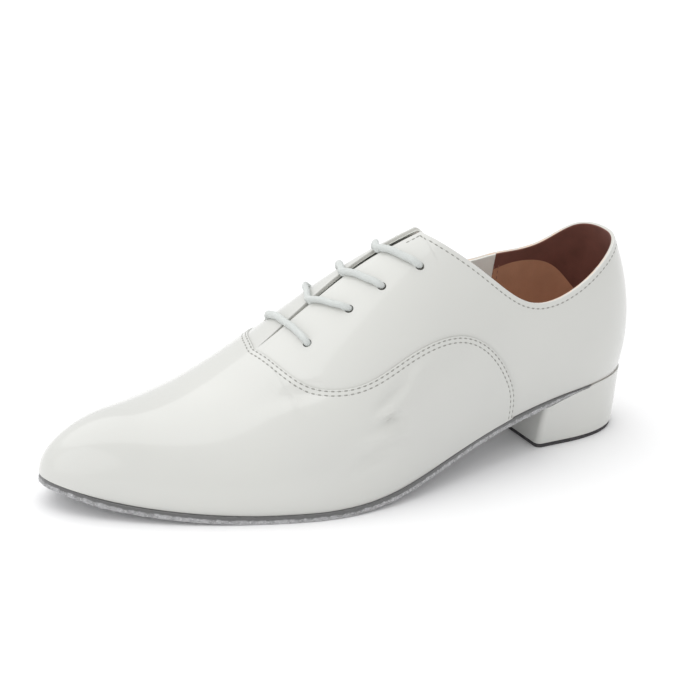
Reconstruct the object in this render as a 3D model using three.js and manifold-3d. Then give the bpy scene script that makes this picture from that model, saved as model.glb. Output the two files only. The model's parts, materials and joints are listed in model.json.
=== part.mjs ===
// A gentleman's ballroom dance shoe for the left foot: a hollow oxford upper laced over a tongue,
// a thin outsole that tapers away over the heel seat, an insole, and a covered heel with its top piece.
// Millimetres. Heel towards +X, toe towards -X, the outer side of the foot towards -Y, +Z up.

import * as THREE from "three";
import { mergeVertices } from "three/addons/utils/BufferGeometryUtils.js";
import Module from "manifold-3d";

const wasm = await Module();
wasm.setup();

// Driving dimensions

const LAST_LENGTH = 288;
const BALL_WIDTH = 98;
const INSTEP_DEPTH = 97;
const HEEL_HEIGHT = 28;
const TOE_SPRING = 10.4;
const SIDE_FULLNESS = 11;
const FULLNESS_DEPTH = 40;
const TOE_SWING = 15;
const RIDGE_SHIFT = 5;
const RIDGE_REACH = 0.3;
const COLLAR_HEIGHT = 91;

const WALL = 2;
const VAMP_LAP = 0.7;
const CLEARANCE = 0.3;

const SLOT_WIDTH = 6;
const EYELET_DIAMETER = 4;
const EYELET_SPREAD = 17.7;

const LACE_DIAMETER = 2.8;
const LACE_SINK = 1.6;

const TONGUE_THICKNESS = 1.8;
const TONGUE_HALF_WIDTH = 19;
const TONGUE_CLEARANCE = 1.1;

const INSOLE_THICKNESS = 2.6;

const SOLE_THICKNESS = 3.3;
const SOLE_FEATHER_EDGE = 0.5;
const SOLE_MARGIN = 1.2;
const NARROWEST_END = 0.5;

const HEEL_BACK_RAKE = 2.5;
const HEEL_LENGTH = 56;
const HEEL_BASE_WIDTH = 49;
const HEEL_CORNER = 3;
const TOP_PIECE_THICKNESS = 1.6;
const TOP_PIECE_INSET = 0.5;

// Shares of the last's length, counted from the back of the heel

const HEEL_ROUND = 0.14;
const TOE_ROUND = 0.31;
const TOE_CAP = 0.13;
const HEEL_BLUNTNESS = 2.4;
const TOE_BLUNTNESS = 2.2;
const SWING_START = 0.45;
const SPINE_START = 0.12;
const SLOT_START = 0.4;
const SLOT_END = 0.654;
const SLOT_TAPER = 0.8;
const TOE_TIP = 0.9994;
const SOLE_BACK = 0.1;
const SOLE_FULL = 0.22;
const MARGIN_START = 0.3;
const MARGIN_FULL = 0.5;
const TONGUE_TOP = 0.386;
const TONGUE_ROUND = 0.035;
const TONGUE_BLUNT = 0.006;
const TONGUE_BASE = 0.657;

// Cross sections of the last. "lateral" and "medial" are shares of half the ball width, "depth" of the
// instep depth, "rise" of the heel's rise over the tread, "spring" of the toe spring, "fullness" of the
// side fullness. "side" and "crown" shape the wall and the top of a section.
const SECTION_COLUMNS = ["at", "lateral", "medial", "depth", "rise", "spring", "fullness", "side", "crown"];
const SECTIONS = [
  [0.00, 0.46, 0.54, 1.000, 1.000, 0.00, 1.00, 0.47, 0.37],
  [0.12, 0.54, 0.57, 0.994, 0.984, 0.00, 0.94, 0.48, 0.37],
  [0.25, 0.63, 0.58, 1.000, 0.787, 0.00, 0.88, 0.53, 0.42],
  [0.40, 0.83, 0.54, 0.970, 0.422, 0.00, 0.66, 0.57, 0.47],
  [0.52, 0.98, 0.85, 0.876, 0.098, 0.00, 0.42, 0.57, 0.49],
  [0.63, 1.00, 1.03, 0.652, 0.000, 0.00, 0.36, 0.57, 0.52],
  [0.73, 0.88, 1.00, 0.466, 0.000, 0.00, 0.39, 0.56, 0.57],
  [0.84, 0.74, 0.88, 0.360, 0.000, 0.19, 0.31, 0.56, 0.58],
  [0.93, 0.61, 0.67, 0.309, 0.000, 0.52, 0.18, 0.56, 0.57],
  [1.00, 0.53, 0.53, 0.247, 0.000, 1.00, 0.09, 0.56, 0.57],
].map((row) => Object.fromEntries(SECTION_COLUMNS.map((name, index) => [name, row[index]])));

// Height of the collar's edge above the floor, as shares of the collar height at the back.
const COLLAR = [
  { at: 0.00, lateral: 1.034, medial: 1.034 },
  { at: 0.04, lateral: 0.998, medial: 1.008 },
  { at: 0.10, lateral: 0.918, medial: 0.902 },
  { at: 0.19, lateral: 0.823, medial: 0.866 },
  { at: 0.25, lateral: 0.856, medial: 0.856 },
  { at: 0.32, lateral: 1.028, medial: 0.990 },
  { at: 0.36, lateral: 1.128, medial: 1.120 },
  { at: 0.40, lateral: 1.200, medial: 1.200 },
  { at: 0.44, lateral: 1.222, medial: 1.222 },
];

// The lapped seam from the heel end of the waist to the ridge in front of the throat. "up" is the
// share of the section's profile, 0 at the feather edge and 1 on the ridge.
const SEAM_LATERAL = [
  { at: 0.264, up: 0.000 },
  { at: 0.269, up: 0.090 },
  { at: 0.286, up: 0.170 },
  { at: 0.310, up: 0.250 },
  { at: 0.345, up: 0.330 },
  { at: 0.385, up: 0.385 },
  { at: 0.430, up: 0.415 },
  { at: 0.480, up: 0.427 },
  { at: 0.530, up: 0.431 },
  { at: 0.575, up: 0.463 },
  { at: 0.612, up: 0.535 },
  { at: 0.637, up: 0.635 },
  { at: 0.652, up: 0.790 },
  { at: 0.661, up: 1.000 },
];
const SEAM_MEDIAL = [
  { at: 0.236, up: 0.000 },
  { at: 0.238, up: 0.080 },
  { at: 0.244, up: 0.165 },
  { at: 0.262, up: 0.235 },
  { at: 0.292, up: 0.270 },
  { at: 0.335, up: 0.277 },
  { at: 0.380, up: 0.257 },
  { at: 0.425, up: 0.250 },
  { at: 0.470, up: 0.272 },
  { at: 0.515, up: 0.335 },
  { at: 0.556, up: 0.420 },
  { at: 0.592, up: 0.520 },
  { at: 0.622, up: 0.640 },
  { at: 0.645, up: 0.800 },
  { at: 0.661, up: 1.000 },
];

// Shares at which the eyelet pairs sit, and how far towards the toe the lace crosses before each pair.
const EYELET_PAIRS = [
  { at: 0.607, crossing: 0.004 },
  { at: 0.540, crossing: 0.031 },
  { at: 0.486, crossing: 0.031 },
  { at: 0.421, crossing: 0.039 },
];

// One half of a lace bar from inside its eyelet to the ridge, as shares of the eyelet spread, of the
// height at which it rides and of the pair's crossing.
const LACE_RIDE = LACE_DIAMETER / 2 + TONGUE_CLEARANCE;
const LACE_ROWS = [
  { spread: 1, ride: 0, sink: LACE_SINK, drift: 0 },
  { spread: 1, ride: 0.4, sink: 0, drift: 0 },
  { spread: 0.86, ride: 1, sink: 0, drift: 0.1 },
  { spread: 0.55, ride: 1, sink: 0, drift: 0.42 },
  { spread: 0.25, ride: 1, sink: 0, drift: 0.8 },
];

// Facets

const HEEL_COLUMNS = 9;
const SEAM_COLUMNS = 18;
const CORNER_OFFSETS = [-0.032, -0.019, -0.009, 0, 0.012];
const TOE_COLUMNS = 15;
const VAMP_ROWS = 8;
const QUARTER_ROWS = 9;
const EYELET_SIDES = 12;
const LACE_SIDES = 8;
const LACE_STEPS = 22;
const TONGUE_COLUMNS = 20;
const TONGUE_ROWS = 12;
const PLATE_ROWS = 6;
const INSOLE_COLUMNS = 34;
const WAIST_COLUMNS = 9;
const WAIST_END = 0.4;
const TREAD_COLUMNS = [0.4, 0.45, 0.5, 0.54, 0.58, 0.61, 0.63, 0.68, 0.73];
const TOE_EDGE_COLUMNS = [0.77, 0.81, 0.85, 0.885, 0.915, 0.94, 0.96, 0.976, 0.988, 0.996];
const HEEL_BACK_COLUMNS = [0.0004, 0.002, 0.006, 0.013, 0.024, 0.04, 0.06, 0.08, 0.094];
const HEEL_MIDDLE_COLUMNS = [0.12, 0.14, 0.165];
const HEEL_CORNER_COLUMNS = [1, 0.5, 0.15, 0];
const SEAT_STEP = 0.002;
const HEEL_SPACING = 1.6;
const TOE_SPACING = 1.7;
const TONGUE_SPACING = 1.5;
const PUNCH_DEPTH = 4 * (WALL + VAMP_LAP);
const HALVINGS = 50;
const SLIGHT_STEP = 1e-4;
const WELD_DISTANCE = 1e-4;

const LATERAL = -1;
const MEDIAL = 1;

// Colours and finishes

const FINISH = {
  patent: { color: 0xe4e4df, roughness: 0.18, metalness: 0 },
  tongue: { color: 0xe2e1da, roughness: 0.4, metalness: 0 },
  insole: { color: 0x9a7355, roughness: 0.75, metalness: 0 },
  suede: { color: 0x8d8f92, roughness: 0.95, metalness: 0 },
  rubber: { color: 0x4a4a4c, roughness: 0.8, metalness: 0 },
  lace: { color: 0xdde2e4, roughness: 0.8, metalness: 0 },
};

// Interpolation

function spline(rows, column) {
  const x = rows.map((row) => row.at);
  const y = rows.map((row) => row[column]);
  const last = x.length - 1;
  const bend = new Array(x.length).fill(0);
  const carry = new Array(x.length).fill(0);
  for (let i = 1; i < last; i += 1) {
    const before = x[i] - x[i - 1];
    const after = x[i + 1] - x[i];
    const share = before / (before + after);
    const pivot = share * bend[i - 1] + 2;
    const slopes = (y[i + 1] - y[i]) / after - (y[i] - y[i - 1]) / before;
    bend[i] = (share - 1) / pivot;
    carry[i] = ((6 * slopes) / (before + after) - share * carry[i - 1]) / pivot;
  }
  for (let i = last - 1; i > 0; i -= 1) {
    bend[i] = bend[i] * bend[i + 1] + carry[i];
  }
  bend[0] = 0;
  bend[last] = 0;
  return (at) => {
    let i = 0;
    while (i < last - 1 && at > x[i + 1]) {
      i += 1;
    }
    const step = x[i + 1] - x[i];
    const a = (x[i + 1] - at) / step;
    const b = (at - x[i]) / step;
    const curve = (a ** 3 - a) * bend[i] + (b ** 3 - b) * bend[i + 1];
    return a * y[i] + b * y[i + 1] + (curve * step ** 2) / 6;
  };
}

function clamp01(value) {
  return Math.min(1, Math.max(0, value));
}

function smooth(value) {
  const share = clamp01(value);
  return share * share * (3 - 2 * share);
}

// A quarter of a superellipse: 0 at the end, 1 from "reach" onwards.
function roundEnd(distance, reach, bluntness) {
  const left = clamp01(1 - distance / reach);
  return (1 - left ** bluntness) ** (1 / bluntness);
}

function bisect(low, high, isBelow) {
  let from = low;
  let to = high;
  for (let i = 0; i < HALVINGS; i += 1) {
    const middle = (from + to) / 2;
    if (isBelow(middle)) {
      from = middle;
    } else {
      to = middle;
    }
  }
  return (from + to) / 2;
}

// The last

const table = {};
for (const column of ["lateral", "medial", "depth", "rise", "spring", "fullness", "side", "crown"]) {
  table[column] = spline(SECTIONS, column);
}
const collarTable = { lateral: spline(COLLAR, "lateral"), medial: spline(COLLAR, "medial") };

function sideName(side) {
  return side === LATERAL ? "lateral" : "medial";
}

function along(share, inset = 0) {
  return LAST_LENGTH / 2 - inset - share * (LAST_LENGTH - 2 * inset);
}

function axisY(share) {
  return TOE_SWING * (Math.max(0, share - SWING_START) / (1 - SWING_START)) ** 2;
}

// Height of the outsole's underside above the floor: flat at the tread, raised at the heel and toe.
function treadRise(share) {
  const heel = (HEEL_HEIGHT - SOLE_THICKNESS - CLEARANCE) * table.rise(share);
  return Math.max(0, heel) + Math.max(0, TOE_SPRING * table.spring(share));
}

// Height of the feather edge, where the upper meets the sole.
function featherZ(share) {
  return SOLE_THICKNESS + CLEARANCE + treadRise(share);
}

function halfWidth(share, side, inset = 0) {
  const full = (table[sideName(side)](share) * BALL_WIDTH) / 2 - inset;
  const heel = roundEnd(share, HEEL_ROUND, HEEL_BLUNTNESS);
  return full * heel * roundEnd(1 - share, TOE_ROUND, TOE_BLUNTNESS);
}

function spineShare(share) {
  return Math.hypot(share, SPINE_START * (1 - share) ** 2);
}

function ridgeY(share) {
  const bow = clamp01((share - RIDGE_REACH) / RIDGE_REACH) * clamp01((1 - share) / RIDGE_REACH);
  return axisY(share) + RIDGE_SHIFT * bow;
}

// One section's frame: its foot on the feather edge, the way to the ridge, and its height.
function section(share, side) {
  const crest = spineShare(share);
  const foot = new THREE.Vector3(along(share), axisY(share) + side * halfWidth(share, side), featherZ(share));
  const top = new THREE.Vector3(along(crest), ridgeY(crest), foot.z);
  const reach = top.clone().sub(foot);
  const width = Math.max(reach.length(), 1e-6);
  const crestZ = featherZ(crest) + INSTEP_DEPTH * table.depth(crest);
  const height = (crestZ - foot.z) * roundEnd(1 - share, TOE_CAP, TOE_BLUNTNESS);
  const fullness = SIDE_FULLNESS * table.fullness(share) * clamp01(height / FULLNESS_DEPTH);
  return { foot, reach, width, height, fullness, side: table.side(share), crown: table.crown(share) };
}

function inwardShare(frame, up) {
  const down = 1 - up;
  const bulge = (-3 * up * down ** 2 * frame.fullness) / frame.width;
  return bulge + 3 * up ** 2 * down * (1 - frame.crown) + up ** 3;
}

function upwardShare(frame, up) {
  const down = 1 - up;
  return 3 * up * down ** 2 * frame.side + 3 * up ** 2 * down + up ** 3;
}

function lastPoint(share, up, side) {
  const frame = section(share, side);
  const point = frame.foot.clone().addScaledVector(frame.reach, inwardShare(frame, up));
  point.z += frame.height * upwardShare(frame, up);
  return point;
}

function lastNormal(share, up, side) {
  const step = SLIGHT_STEP;
  const forward = lastPoint(share + step, up, side).sub(lastPoint(share - step, up, side));
  const high = Math.min(1, up + step);
  const climb = lastPoint(share, high, side).sub(lastPoint(share, high - step, side));
  return forward.cross(climb).multiplyScalar(side).normalize();
}

// Where the profile is a given distance across from the ridge.
function upAtDistance(share, distance, side) {
  const frame = section(share, side);
  return bisect(0, 1, (up) => (1 - inwardShare(frame, up)) * frame.width > distance);
}

function upAtHeight(share, height, side) {
  const frame = section(share, side);
  return bisect(0, 1, (up) => frame.foot.z + frame.height * upwardShare(frame, up) < height);
}

// The upper's edges

function slotHalfGap(share) {
  const open = (SLOT_END - share) / (SLOT_END - SLOT_START);
  return (SLOT_WIDTH / 2) * clamp01(open) ** SLOT_TAPER;
}

function facingUp(share, side) {
  return upAtDistance(share, slotHalfGap(share), side);
}

function collarUp(share, side) {
  return upAtHeight(share, COLLAR_HEIGHT * collarTable[sideName(side)](share), side);
}

function topUp(share, side) {
  if (share >= SLOT_END) {
    return 1;
  }
  if (share > COLLAR[COLLAR.length - 1].at) {
    return facingUp(share, side);
  }
  return Math.min(facingUp(share, side), collarUp(share, side));
}

function facingCorner(side) {
  const last = COLLAR[COLLAR.length - 1].at;
  const first = COLLAR[COLLAR.length - 4].at;
  return bisect(first, last, (share) => collarUp(share, side) < facingUp(share, side));
}

// The columns of the upper's grid on one side, heel to toe, with the seam's place on each.
function upperColumns(side) {
  const rows = side === LATERAL ? SEAM_LATERAL : SEAM_MEDIAL;
  const numbered = rows.map((row, index) => ({ at: index / (rows.length - 1), share: row.at, up: row.up }));
  const seamShare = spline(numbered, "share");
  const seamUp = spline(numbered, "up");
  const foot = rows[0].at;
  const corner = facingCorner(side);
  const stepAt = (share) => bisect(0, 1, (step) => seamShare(step) < share);
  const slotEnd = stepAt(SLOT_END);
  const steps = [];
  for (let i = 0; i < SEAM_COLUMNS; i += 1) {
    steps.push((slotEnd * i) / SEAM_COLUMNS);
  }
  for (const offset of CORNER_OFFSETS) {
    steps.push(stepAt(corner + offset));
  }
  steps.sort((a, b) => a - b);
  const columns = [];
  for (let i = 0; i < HEEL_COLUMNS; i += 1) {
    columns.push({ share: foot * (i / HEEL_COLUMNS) ** HEEL_SPACING, seam: 0, lapped: false });
  }
  for (const step of steps) {
    columns.push({ share: seamShare(step), seam: clamp01(seamUp(step)), lapped: true });
  }
  const seamEnd = rows[rows.length - 1].at;
  columns.push({ share: SLOT_END, seam: seamUp(slotEnd), lapped: true });
  columns.push({ share: seamEnd, seam: 1, lapped: true });
  for (let i = 1; i <= TOE_COLUMNS; i += 1) {
    const left = (1 - i / TOE_COLUMNS) ** TOE_SPACING;
    columns.push({ share: TOE_TIP - (TOE_TIP - seamEnd) * left, seam: 1, lapped: true });
  }
  return columns.map((column) => ({ ...column, side, top: topUp(column.share, side) }));
}

// Solids

function toMesh(positions, triangles) {
  const geometry = new THREE.BufferGeometry();
  geometry.setAttribute("position", new THREE.Float32BufferAttribute(positions, 3));
  geometry.setIndex(triangles);
  return geometry;
}

function toManifold(geometry) {
  return new wasm.Manifold(new wasm.Mesh({
    numProp: 3,
    vertProperties: Float32Array.from(geometry.attributes.position.array),
    triVerts: Uint32Array.from(geometry.index.array),
  }));
}

function fromManifold(solid) {
  const mesh = solid.getMesh();
  return toMesh(Array.from(mesh.vertProperties), Array.from(mesh.triVerts));
}

// Builds a closed body from points that share their numbers where they share a place.
class Body {
  constructor() {
    this.positions = [];
    this.triangles = [];
  }

  point(vector) {
    this.positions.push(vector.x, vector.y, vector.z);
    return this.positions.length / 3 - 1;
  }

  triangle(a, b, c) {
    if (a !== b && b !== c && c !== a) {
      this.triangles.push(a, b, c);
    }
  }

  quad(a, b, c, d) {
    this.triangle(a, b, c);
    this.triangle(a, c, d);
  }

  strip(first, second) {
    for (let i = 0; i + 1 < first.length; i += 1) {
      this.quad(first[i], first[i + 1], second[i + 1], second[i]);
    }
  }

  geometry() {
    return toMesh(this.positions, this.triangles);
  }
}

function rowUps(column) {
  const ups = [];
  for (let row = 0; row <= VAMP_ROWS; row += 1) {
    ups.push((Math.min(column.seam, column.top) * row) / VAMP_ROWS);
  }
  for (let row = 1; row <= QUARTER_ROWS; row += 1) {
    const seam = Math.min(column.seam, column.top);
    ups.push(seam + ((column.top - seam) * row) / QUARTER_ROWS);
  }
  return ups;
}

// One layer of the upper's grid: a list of point numbers per column, shared where rows meet.
function layer(body, columns, offsetOf) {
  const ridge = new Map();
  return columns.map((column) => {
    const ups = rowUps(column);
    let previous = null;
    const numbers = [];
    const rows = [];
    ups.forEach((up, row) => {
      rows.push({ up, offset: offsetOf(column, row, false) });
      if (row === VAMP_ROWS) {
        rows.push({ up, offset: offsetOf(column, row, true) });
      }
    });
    for (const { up, offset } of rows) {
      const isSame = previous !== null && previous.up === up && previous.offset === offset;
      const key = `${column.share.toFixed(9)} ${offset}`;
      const onRidge = up === 1;
      if (isSame) {
        numbers.push(numbers[numbers.length - 1]);
      } else if (onRidge && ridge.has(key)) {
        numbers.push(ridge.get(key));
      } else {
        const place = lastPoint(column.share, up, column.side);
        const foot = place.z;
        place.addScaledVector(lastNormal(column.share, up, column.side), offset);
        if (up === 0) {
          place.z = foot;
        }
        numbers.push(body.point(place));
        if (onRidge) {
          ridge.set(key, numbers[numbers.length - 1]);
        }
      }
      previous = { up, offset };
    }
    return numbers;
  });
}

function upperShell() {
  const lateral = upperColumns(LATERAL);
  const medial = upperColumns(MEDIAL).slice(1).reverse();
  const columns = [...lateral, ...medial];
  const body = new Body();
  const outer = layer(body, columns, (column, row, sunk) => {
    const onVamp = row < VAMP_ROWS || (row === VAMP_ROWS && !sunk) || column.share > SEAM_LATERAL.at(-1).at;
    const raised = column.lapped && onVamp;
    return raised ? 0 : -VAMP_LAP;
  });
  const inner = layer(body, columns, () => -WALL - VAMP_LAP);
  const last = outer[0].length - 1;
  for (let i = 0; i < columns.length; i += 1) {
    const next = (i + 1) % columns.length;
    body.strip(outer[i], outer[next]);
    body.strip(inner[next], inner[i]);
    body.quad(outer[next][0], inner[next][0], inner[i][0], outer[i][0]);
    const isOpen = columns[i].share < SLOT_END || columns[next].share < SLOT_END;
    if (isOpen) {
      body.quad(outer[i][last], inner[i][last], inner[next][last], outer[next][last]);
    }
  }
  return body.geometry();
}

function placeOn(share, side) {
  const up = upAtDistance(share, EYELET_SPREAD, side);
  return { point: lastPoint(share, up, side), normal: lastNormal(share, up, side) };
}

function eyeletPunch(share, side) {
  const { point, normal } = placeOn(share, side);
  const radius = EYELET_DIAMETER / 2;
  const geometry = new THREE.CylinderGeometry(radius, radius, PUNCH_DEPTH, EYELET_SIDES);
  const turn = new THREE.Quaternion().setFromUnitVectors(new THREE.Vector3(0, 1, 0), normal);
  geometry.applyQuaternion(turn);
  geometry.translate(point.x, point.y, point.z);
  return weld(geometry);
}

// Merges the vertices of a geometry by position.
function weld(geometry) {
  geometry.deleteAttribute("normal");
  geometry.deleteAttribute("uv");
  return mergeVertices(geometry, WELD_DISTANCE);
}

function makeUpper() {
  let solid = toManifold(upperShell());
  for (const pair of EYELET_PAIRS) {
    for (const side of [LATERAL, MEDIAL]) {
      solid = solid.subtract(toManifold(eyeletPunch(pair.at, side)));
    }
  }
  return fromManifold(solid);
}

// A curved plate: place(share, across, level) gives its points, level 0 below and 1 above.
function plate(shares, place) {
  const body = new Body();
  const levels = [0, 1].map((level) => shares.map((share) => {
    const row = [];
    for (let i = 0; i <= PLATE_ROWS; i += 1) {
      row.push(body.point(place(share, (2 * i) / PLATE_ROWS - 1, level)));
    }
    return row;
  }));
  const [below, above] = levels;
  const last = shares.length - 1;
  for (let i = 0; i < last; i += 1) {
    body.strip(above[i], above[i + 1]);
    body.strip(below[i + 1], below[i]);
    body.quad(below[i][0], above[i][0], above[i + 1][0], below[i + 1][0]);
    body.quad(above[i][PLATE_ROWS], below[i][PLATE_ROWS], below[i + 1][PLATE_ROWS], above[i + 1][PLATE_ROWS]);
  }
  body.strip(below[0], above[0]);
  body.strip(above[last], below[last]);
  return body.geometry();
}

function eased(from, to, count) {
  const shares = [];
  for (let i = 0; i <= count; i += 1) {
    shares.push(from + ((to - from) * (1 - Math.cos((Math.PI * i) / count))) / 2);
  }
  return shares;
}

function across(share, fraction, inset) {
  const side = fraction < 0 ? LATERAL : MEDIAL;
  return axisY(share) + fraction * halfWidth(share, side, inset);
}

function makeInsole() {
  const inset = WALL + VAMP_LAP + TONGUE_CLEARANCE;
  return plate(eased(1 - TOE_TIP, TOE_TIP, INSOLE_COLUMNS), (share, fraction, level) => new THREE.Vector3(
    along(share, inset),
    across(share, fraction, inset),
    featherZ(share) + level * INSOLE_THICKNESS,
  ));
}

function soleThickness(share) {
  const full = smooth((share - SOLE_BACK) / (SOLE_FULL - SOLE_BACK));
  return SOLE_FEATHER_EDGE + (SOLE_THICKNESS - SOLE_FEATHER_EDGE) * full;
}

function soleTop(share) {
  return featherZ(share) - CLEARANCE;
}

function makeOutsole() {
  const waist = eased(SOLE_BACK, WAIST_END, WAIST_COLUMNS).slice(0, -1);
  const shares = [...waist, ...TREAD_COLUMNS, ...TOE_EDGE_COLUMNS, TOE_TIP];
  return plate(shares, (share, fraction, level) => {
    const margin = SOLE_MARGIN * smooth((share - MARGIN_START) / (MARGIN_FULL - MARGIN_START));
    const under = Math.max(soleTop(share) - soleThickness(share), 0);
    return new THREE.Vector3(
      along(share) - margin * share,
      across(share, fraction, -margin),
      level === 1 ? soleTop(share) : under,
    );
  });
}

// The heel

const BREAST = HEEL_LENGTH / LAST_LENGTH;

function heelHalfWidth(share, side, level, inset) {
  const corner = HEEL_CORNER / LAST_LENGTH;
  const round = HEEL_CORNER * (1 - roundEnd(BREAST - share, corner, 2));
  const top = halfWidth(share, side);
  const base = (HEEL_BASE_WIDTH / 2) * roundEnd(share, HEEL_ROUND, HEEL_BLUNTNESS);
  return Math.max(base + (top - base) * level - round - inset, NARROWEST_END);
}

function heelPoint(share, fraction, level, z, inset = 0) {
  const side = fraction < 0 ? LATERAL : MEDIAL;
  const back = along(0) - HEEL_BACK_RAKE * (1 - level) - inset;
  const front = along(BREAST) + inset;
  const x = back + ((front - back) * share) / BREAST;
  return new THREE.Vector3(x, axisY(share) + fraction * heelHalfWidth(share, side, level, inset), z);
}

function heelSeat(share) {
  const isUnderSole = share > SOLE_BACK - 1.5 * SEAT_STEP;
  const underSole = isUnderSole ? soleThickness(Math.max(share, SOLE_BACK)) + CLEARANCE : 0;
  return featherZ(share) - CLEARANCE - underSole;
}

function heelShares() {
  const corner = HEEL_CORNER / LAST_LENGTH;
  const front = HEEL_CORNER_COLUMNS.map((left) => BREAST - left * corner);
  return [...HEEL_BACK_COLUMNS, SOLE_BACK - SEAT_STEP, ...HEEL_MIDDLE_COLUMNS, ...front];
}

function makeHeel() {
  const base = TOP_PIECE_THICKNESS + CLEARANCE;
  return plate(heelShares(), (share, fraction, level) => {
    return heelPoint(share, fraction, level, level === 1 ? heelSeat(share) : base);
  });
}

function makeTopPiece() {
  return plate(heelShares(), (share, fraction, level) => {
    return heelPoint(share, fraction, 0, level * TOP_PIECE_THICKNESS, TOP_PIECE_INSET);
  });
}

// The tongue

function tonguePoint(share, fraction, offset) {
  const side = fraction < 0 ? LATERAL : MEDIAL;
  const half = TONGUE_HALF_WIDTH * roundEnd(share - TONGUE_TOP + TONGUE_BLUNT, TONGUE_ROUND, 2);
  const up = upAtDistance(share, Math.abs(fraction) * half, side);
  const facing = fraction === 0 ? 1 : up;
  return lastPoint(share, facing, side).addScaledVector(lastNormal(share, facing, side), offset);
}

function makeTongue() {
  const above = -WALL - VAMP_LAP - TONGUE_CLEARANCE;
  const body = new Body();
  const shares = [];
  for (let i = 0; i <= TONGUE_COLUMNS; i += 1) {
    shares.push(TONGUE_TOP + (TONGUE_BASE - TONGUE_TOP) * (i / TONGUE_COLUMNS) ** TONGUE_SPACING);
  }
  const sheets = [above, above - TONGUE_THICKNESS].map((offset) => shares.map((share) => {
    const row = [];
    for (let i = 0; i <= TONGUE_ROWS; i += 1) {
      row.push(body.point(tonguePoint(share, (2 * i) / TONGUE_ROWS - 1, offset)));
    }
    return row;
  }));
  const [outer, inner] = sheets;
  const last = shares.length - 1;
  for (let i = 0; i < last; i += 1) {
    body.strip(outer[i], outer[i + 1]);
    body.strip(inner[i + 1], inner[i]);
    body.quad(inner[i][0], outer[i][0], outer[i + 1][0], inner[i + 1][0]);
    body.quad(outer[i][TONGUE_ROWS], inner[i][TONGUE_ROWS], inner[i + 1][TONGUE_ROWS], outer[i + 1][TONGUE_ROWS]);
  }
  body.strip(inner[0], outer[0]);
  body.strip(outer[last], inner[last]);
  return body.geometry();
}

// The laces

function laceSpot(share, distance, side, height) {
  const up = distance === 0 ? 1 : upAtDistance(share, distance, side);
  return lastPoint(share, up, side).addScaledVector(lastNormal(share, up, side), height);
}

function laceBar(pair) {
  const spot = (row, side) => {
    const share = pair.at + pair.crossing * row.drift;
    return laceSpot(share, EYELET_SPREAD * row.spread, side, LACE_RIDE * row.ride - row.sink);
  };
  const middle = laceSpot(pair.at + pair.crossing, 0, LATERAL, LACE_RIDE);
  const points = [
    ...LACE_ROWS.map((row) => spot(row, LATERAL)),
    middle,
    ...LACE_ROWS.map((row) => spot(row, MEDIAL)).reverse(),
  ];
  const path = new THREE.CatmullRomCurve3(points, false, "centripetal");
  const round = new THREE.Shape();
  for (let i = 0; i < LACE_SIDES; i += 1) {
    const angle = (2 * Math.PI * i) / LACE_SIDES;
    const radius = LACE_DIAMETER / 2;
    if (i === 0) {
      round.moveTo(radius, 0);
    } else {
      round.lineTo(radius * Math.cos(angle), radius * Math.sin(angle));
    }
  }
  round.closePath();
  const tube = new THREE.ExtrudeGeometry(round, { steps: LACE_STEPS, bevelEnabled: false, extrudePath: path });
  return weld(tube);
}

// The shoe

function piece(name, geometry, finish) {
  const mesh = new THREE.Mesh(geometry, new THREE.MeshStandardMaterial(finish));
  mesh.name = name;
  return mesh;
}

const shoe = new THREE.Group();
shoe.add(piece("upper", makeUpper(), FINISH.patent));
shoe.add(piece("tongue", makeTongue(), FINISH.tongue));
shoe.add(piece("insole", makeInsole(), FINISH.insole));
shoe.add(piece("outsole", makeOutsole(), FINISH.suede));
shoe.add(piece("heel", makeHeel(), FINISH.patent));
shoe.add(piece("heel_top_piece", makeTopPiece(), FINISH.rubber));
EYELET_PAIRS.forEach((pair, index) => {
  shoe.add(piece(`lace_bar_${index + 1}`, laceBar(pair), FINISH.lace));
});

// Stands the shoe over the middle of its outline, on the floor.
const box = new THREE.Box3().setFromObject(shoe);
const middle = box.getCenter(new THREE.Vector3());
shoe.children.forEach((mesh) => mesh.position.set(-middle.x, -middle.y, -box.min.z));

export default shoe;
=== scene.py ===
"""A gentleman's ballroom dance shoe for the left foot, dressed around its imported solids.

Sizes are in millimetres in the shoe's own frame: heel towards +X, toe towards -X, the outer side of
the foot towards -Y and +Z up. Shares count from the back of the heel (0) to the tip of the toe
(1), and "up" runs from the feather edge (0) to the ridge of the instep (1). Meshes are in metres.
"""

import json
import logging
import math
from contextlib import contextmanager
from dataclasses import dataclass, field
from enum import Enum
from typing import Callable, Iterator, Optional, Sequence

import bmesh
import bpy
import numpy as np
from mathutils import Matrix, Vector
from mathutils.bvhtree import BVHTree
from mathutils.kdtree import KDTree

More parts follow.
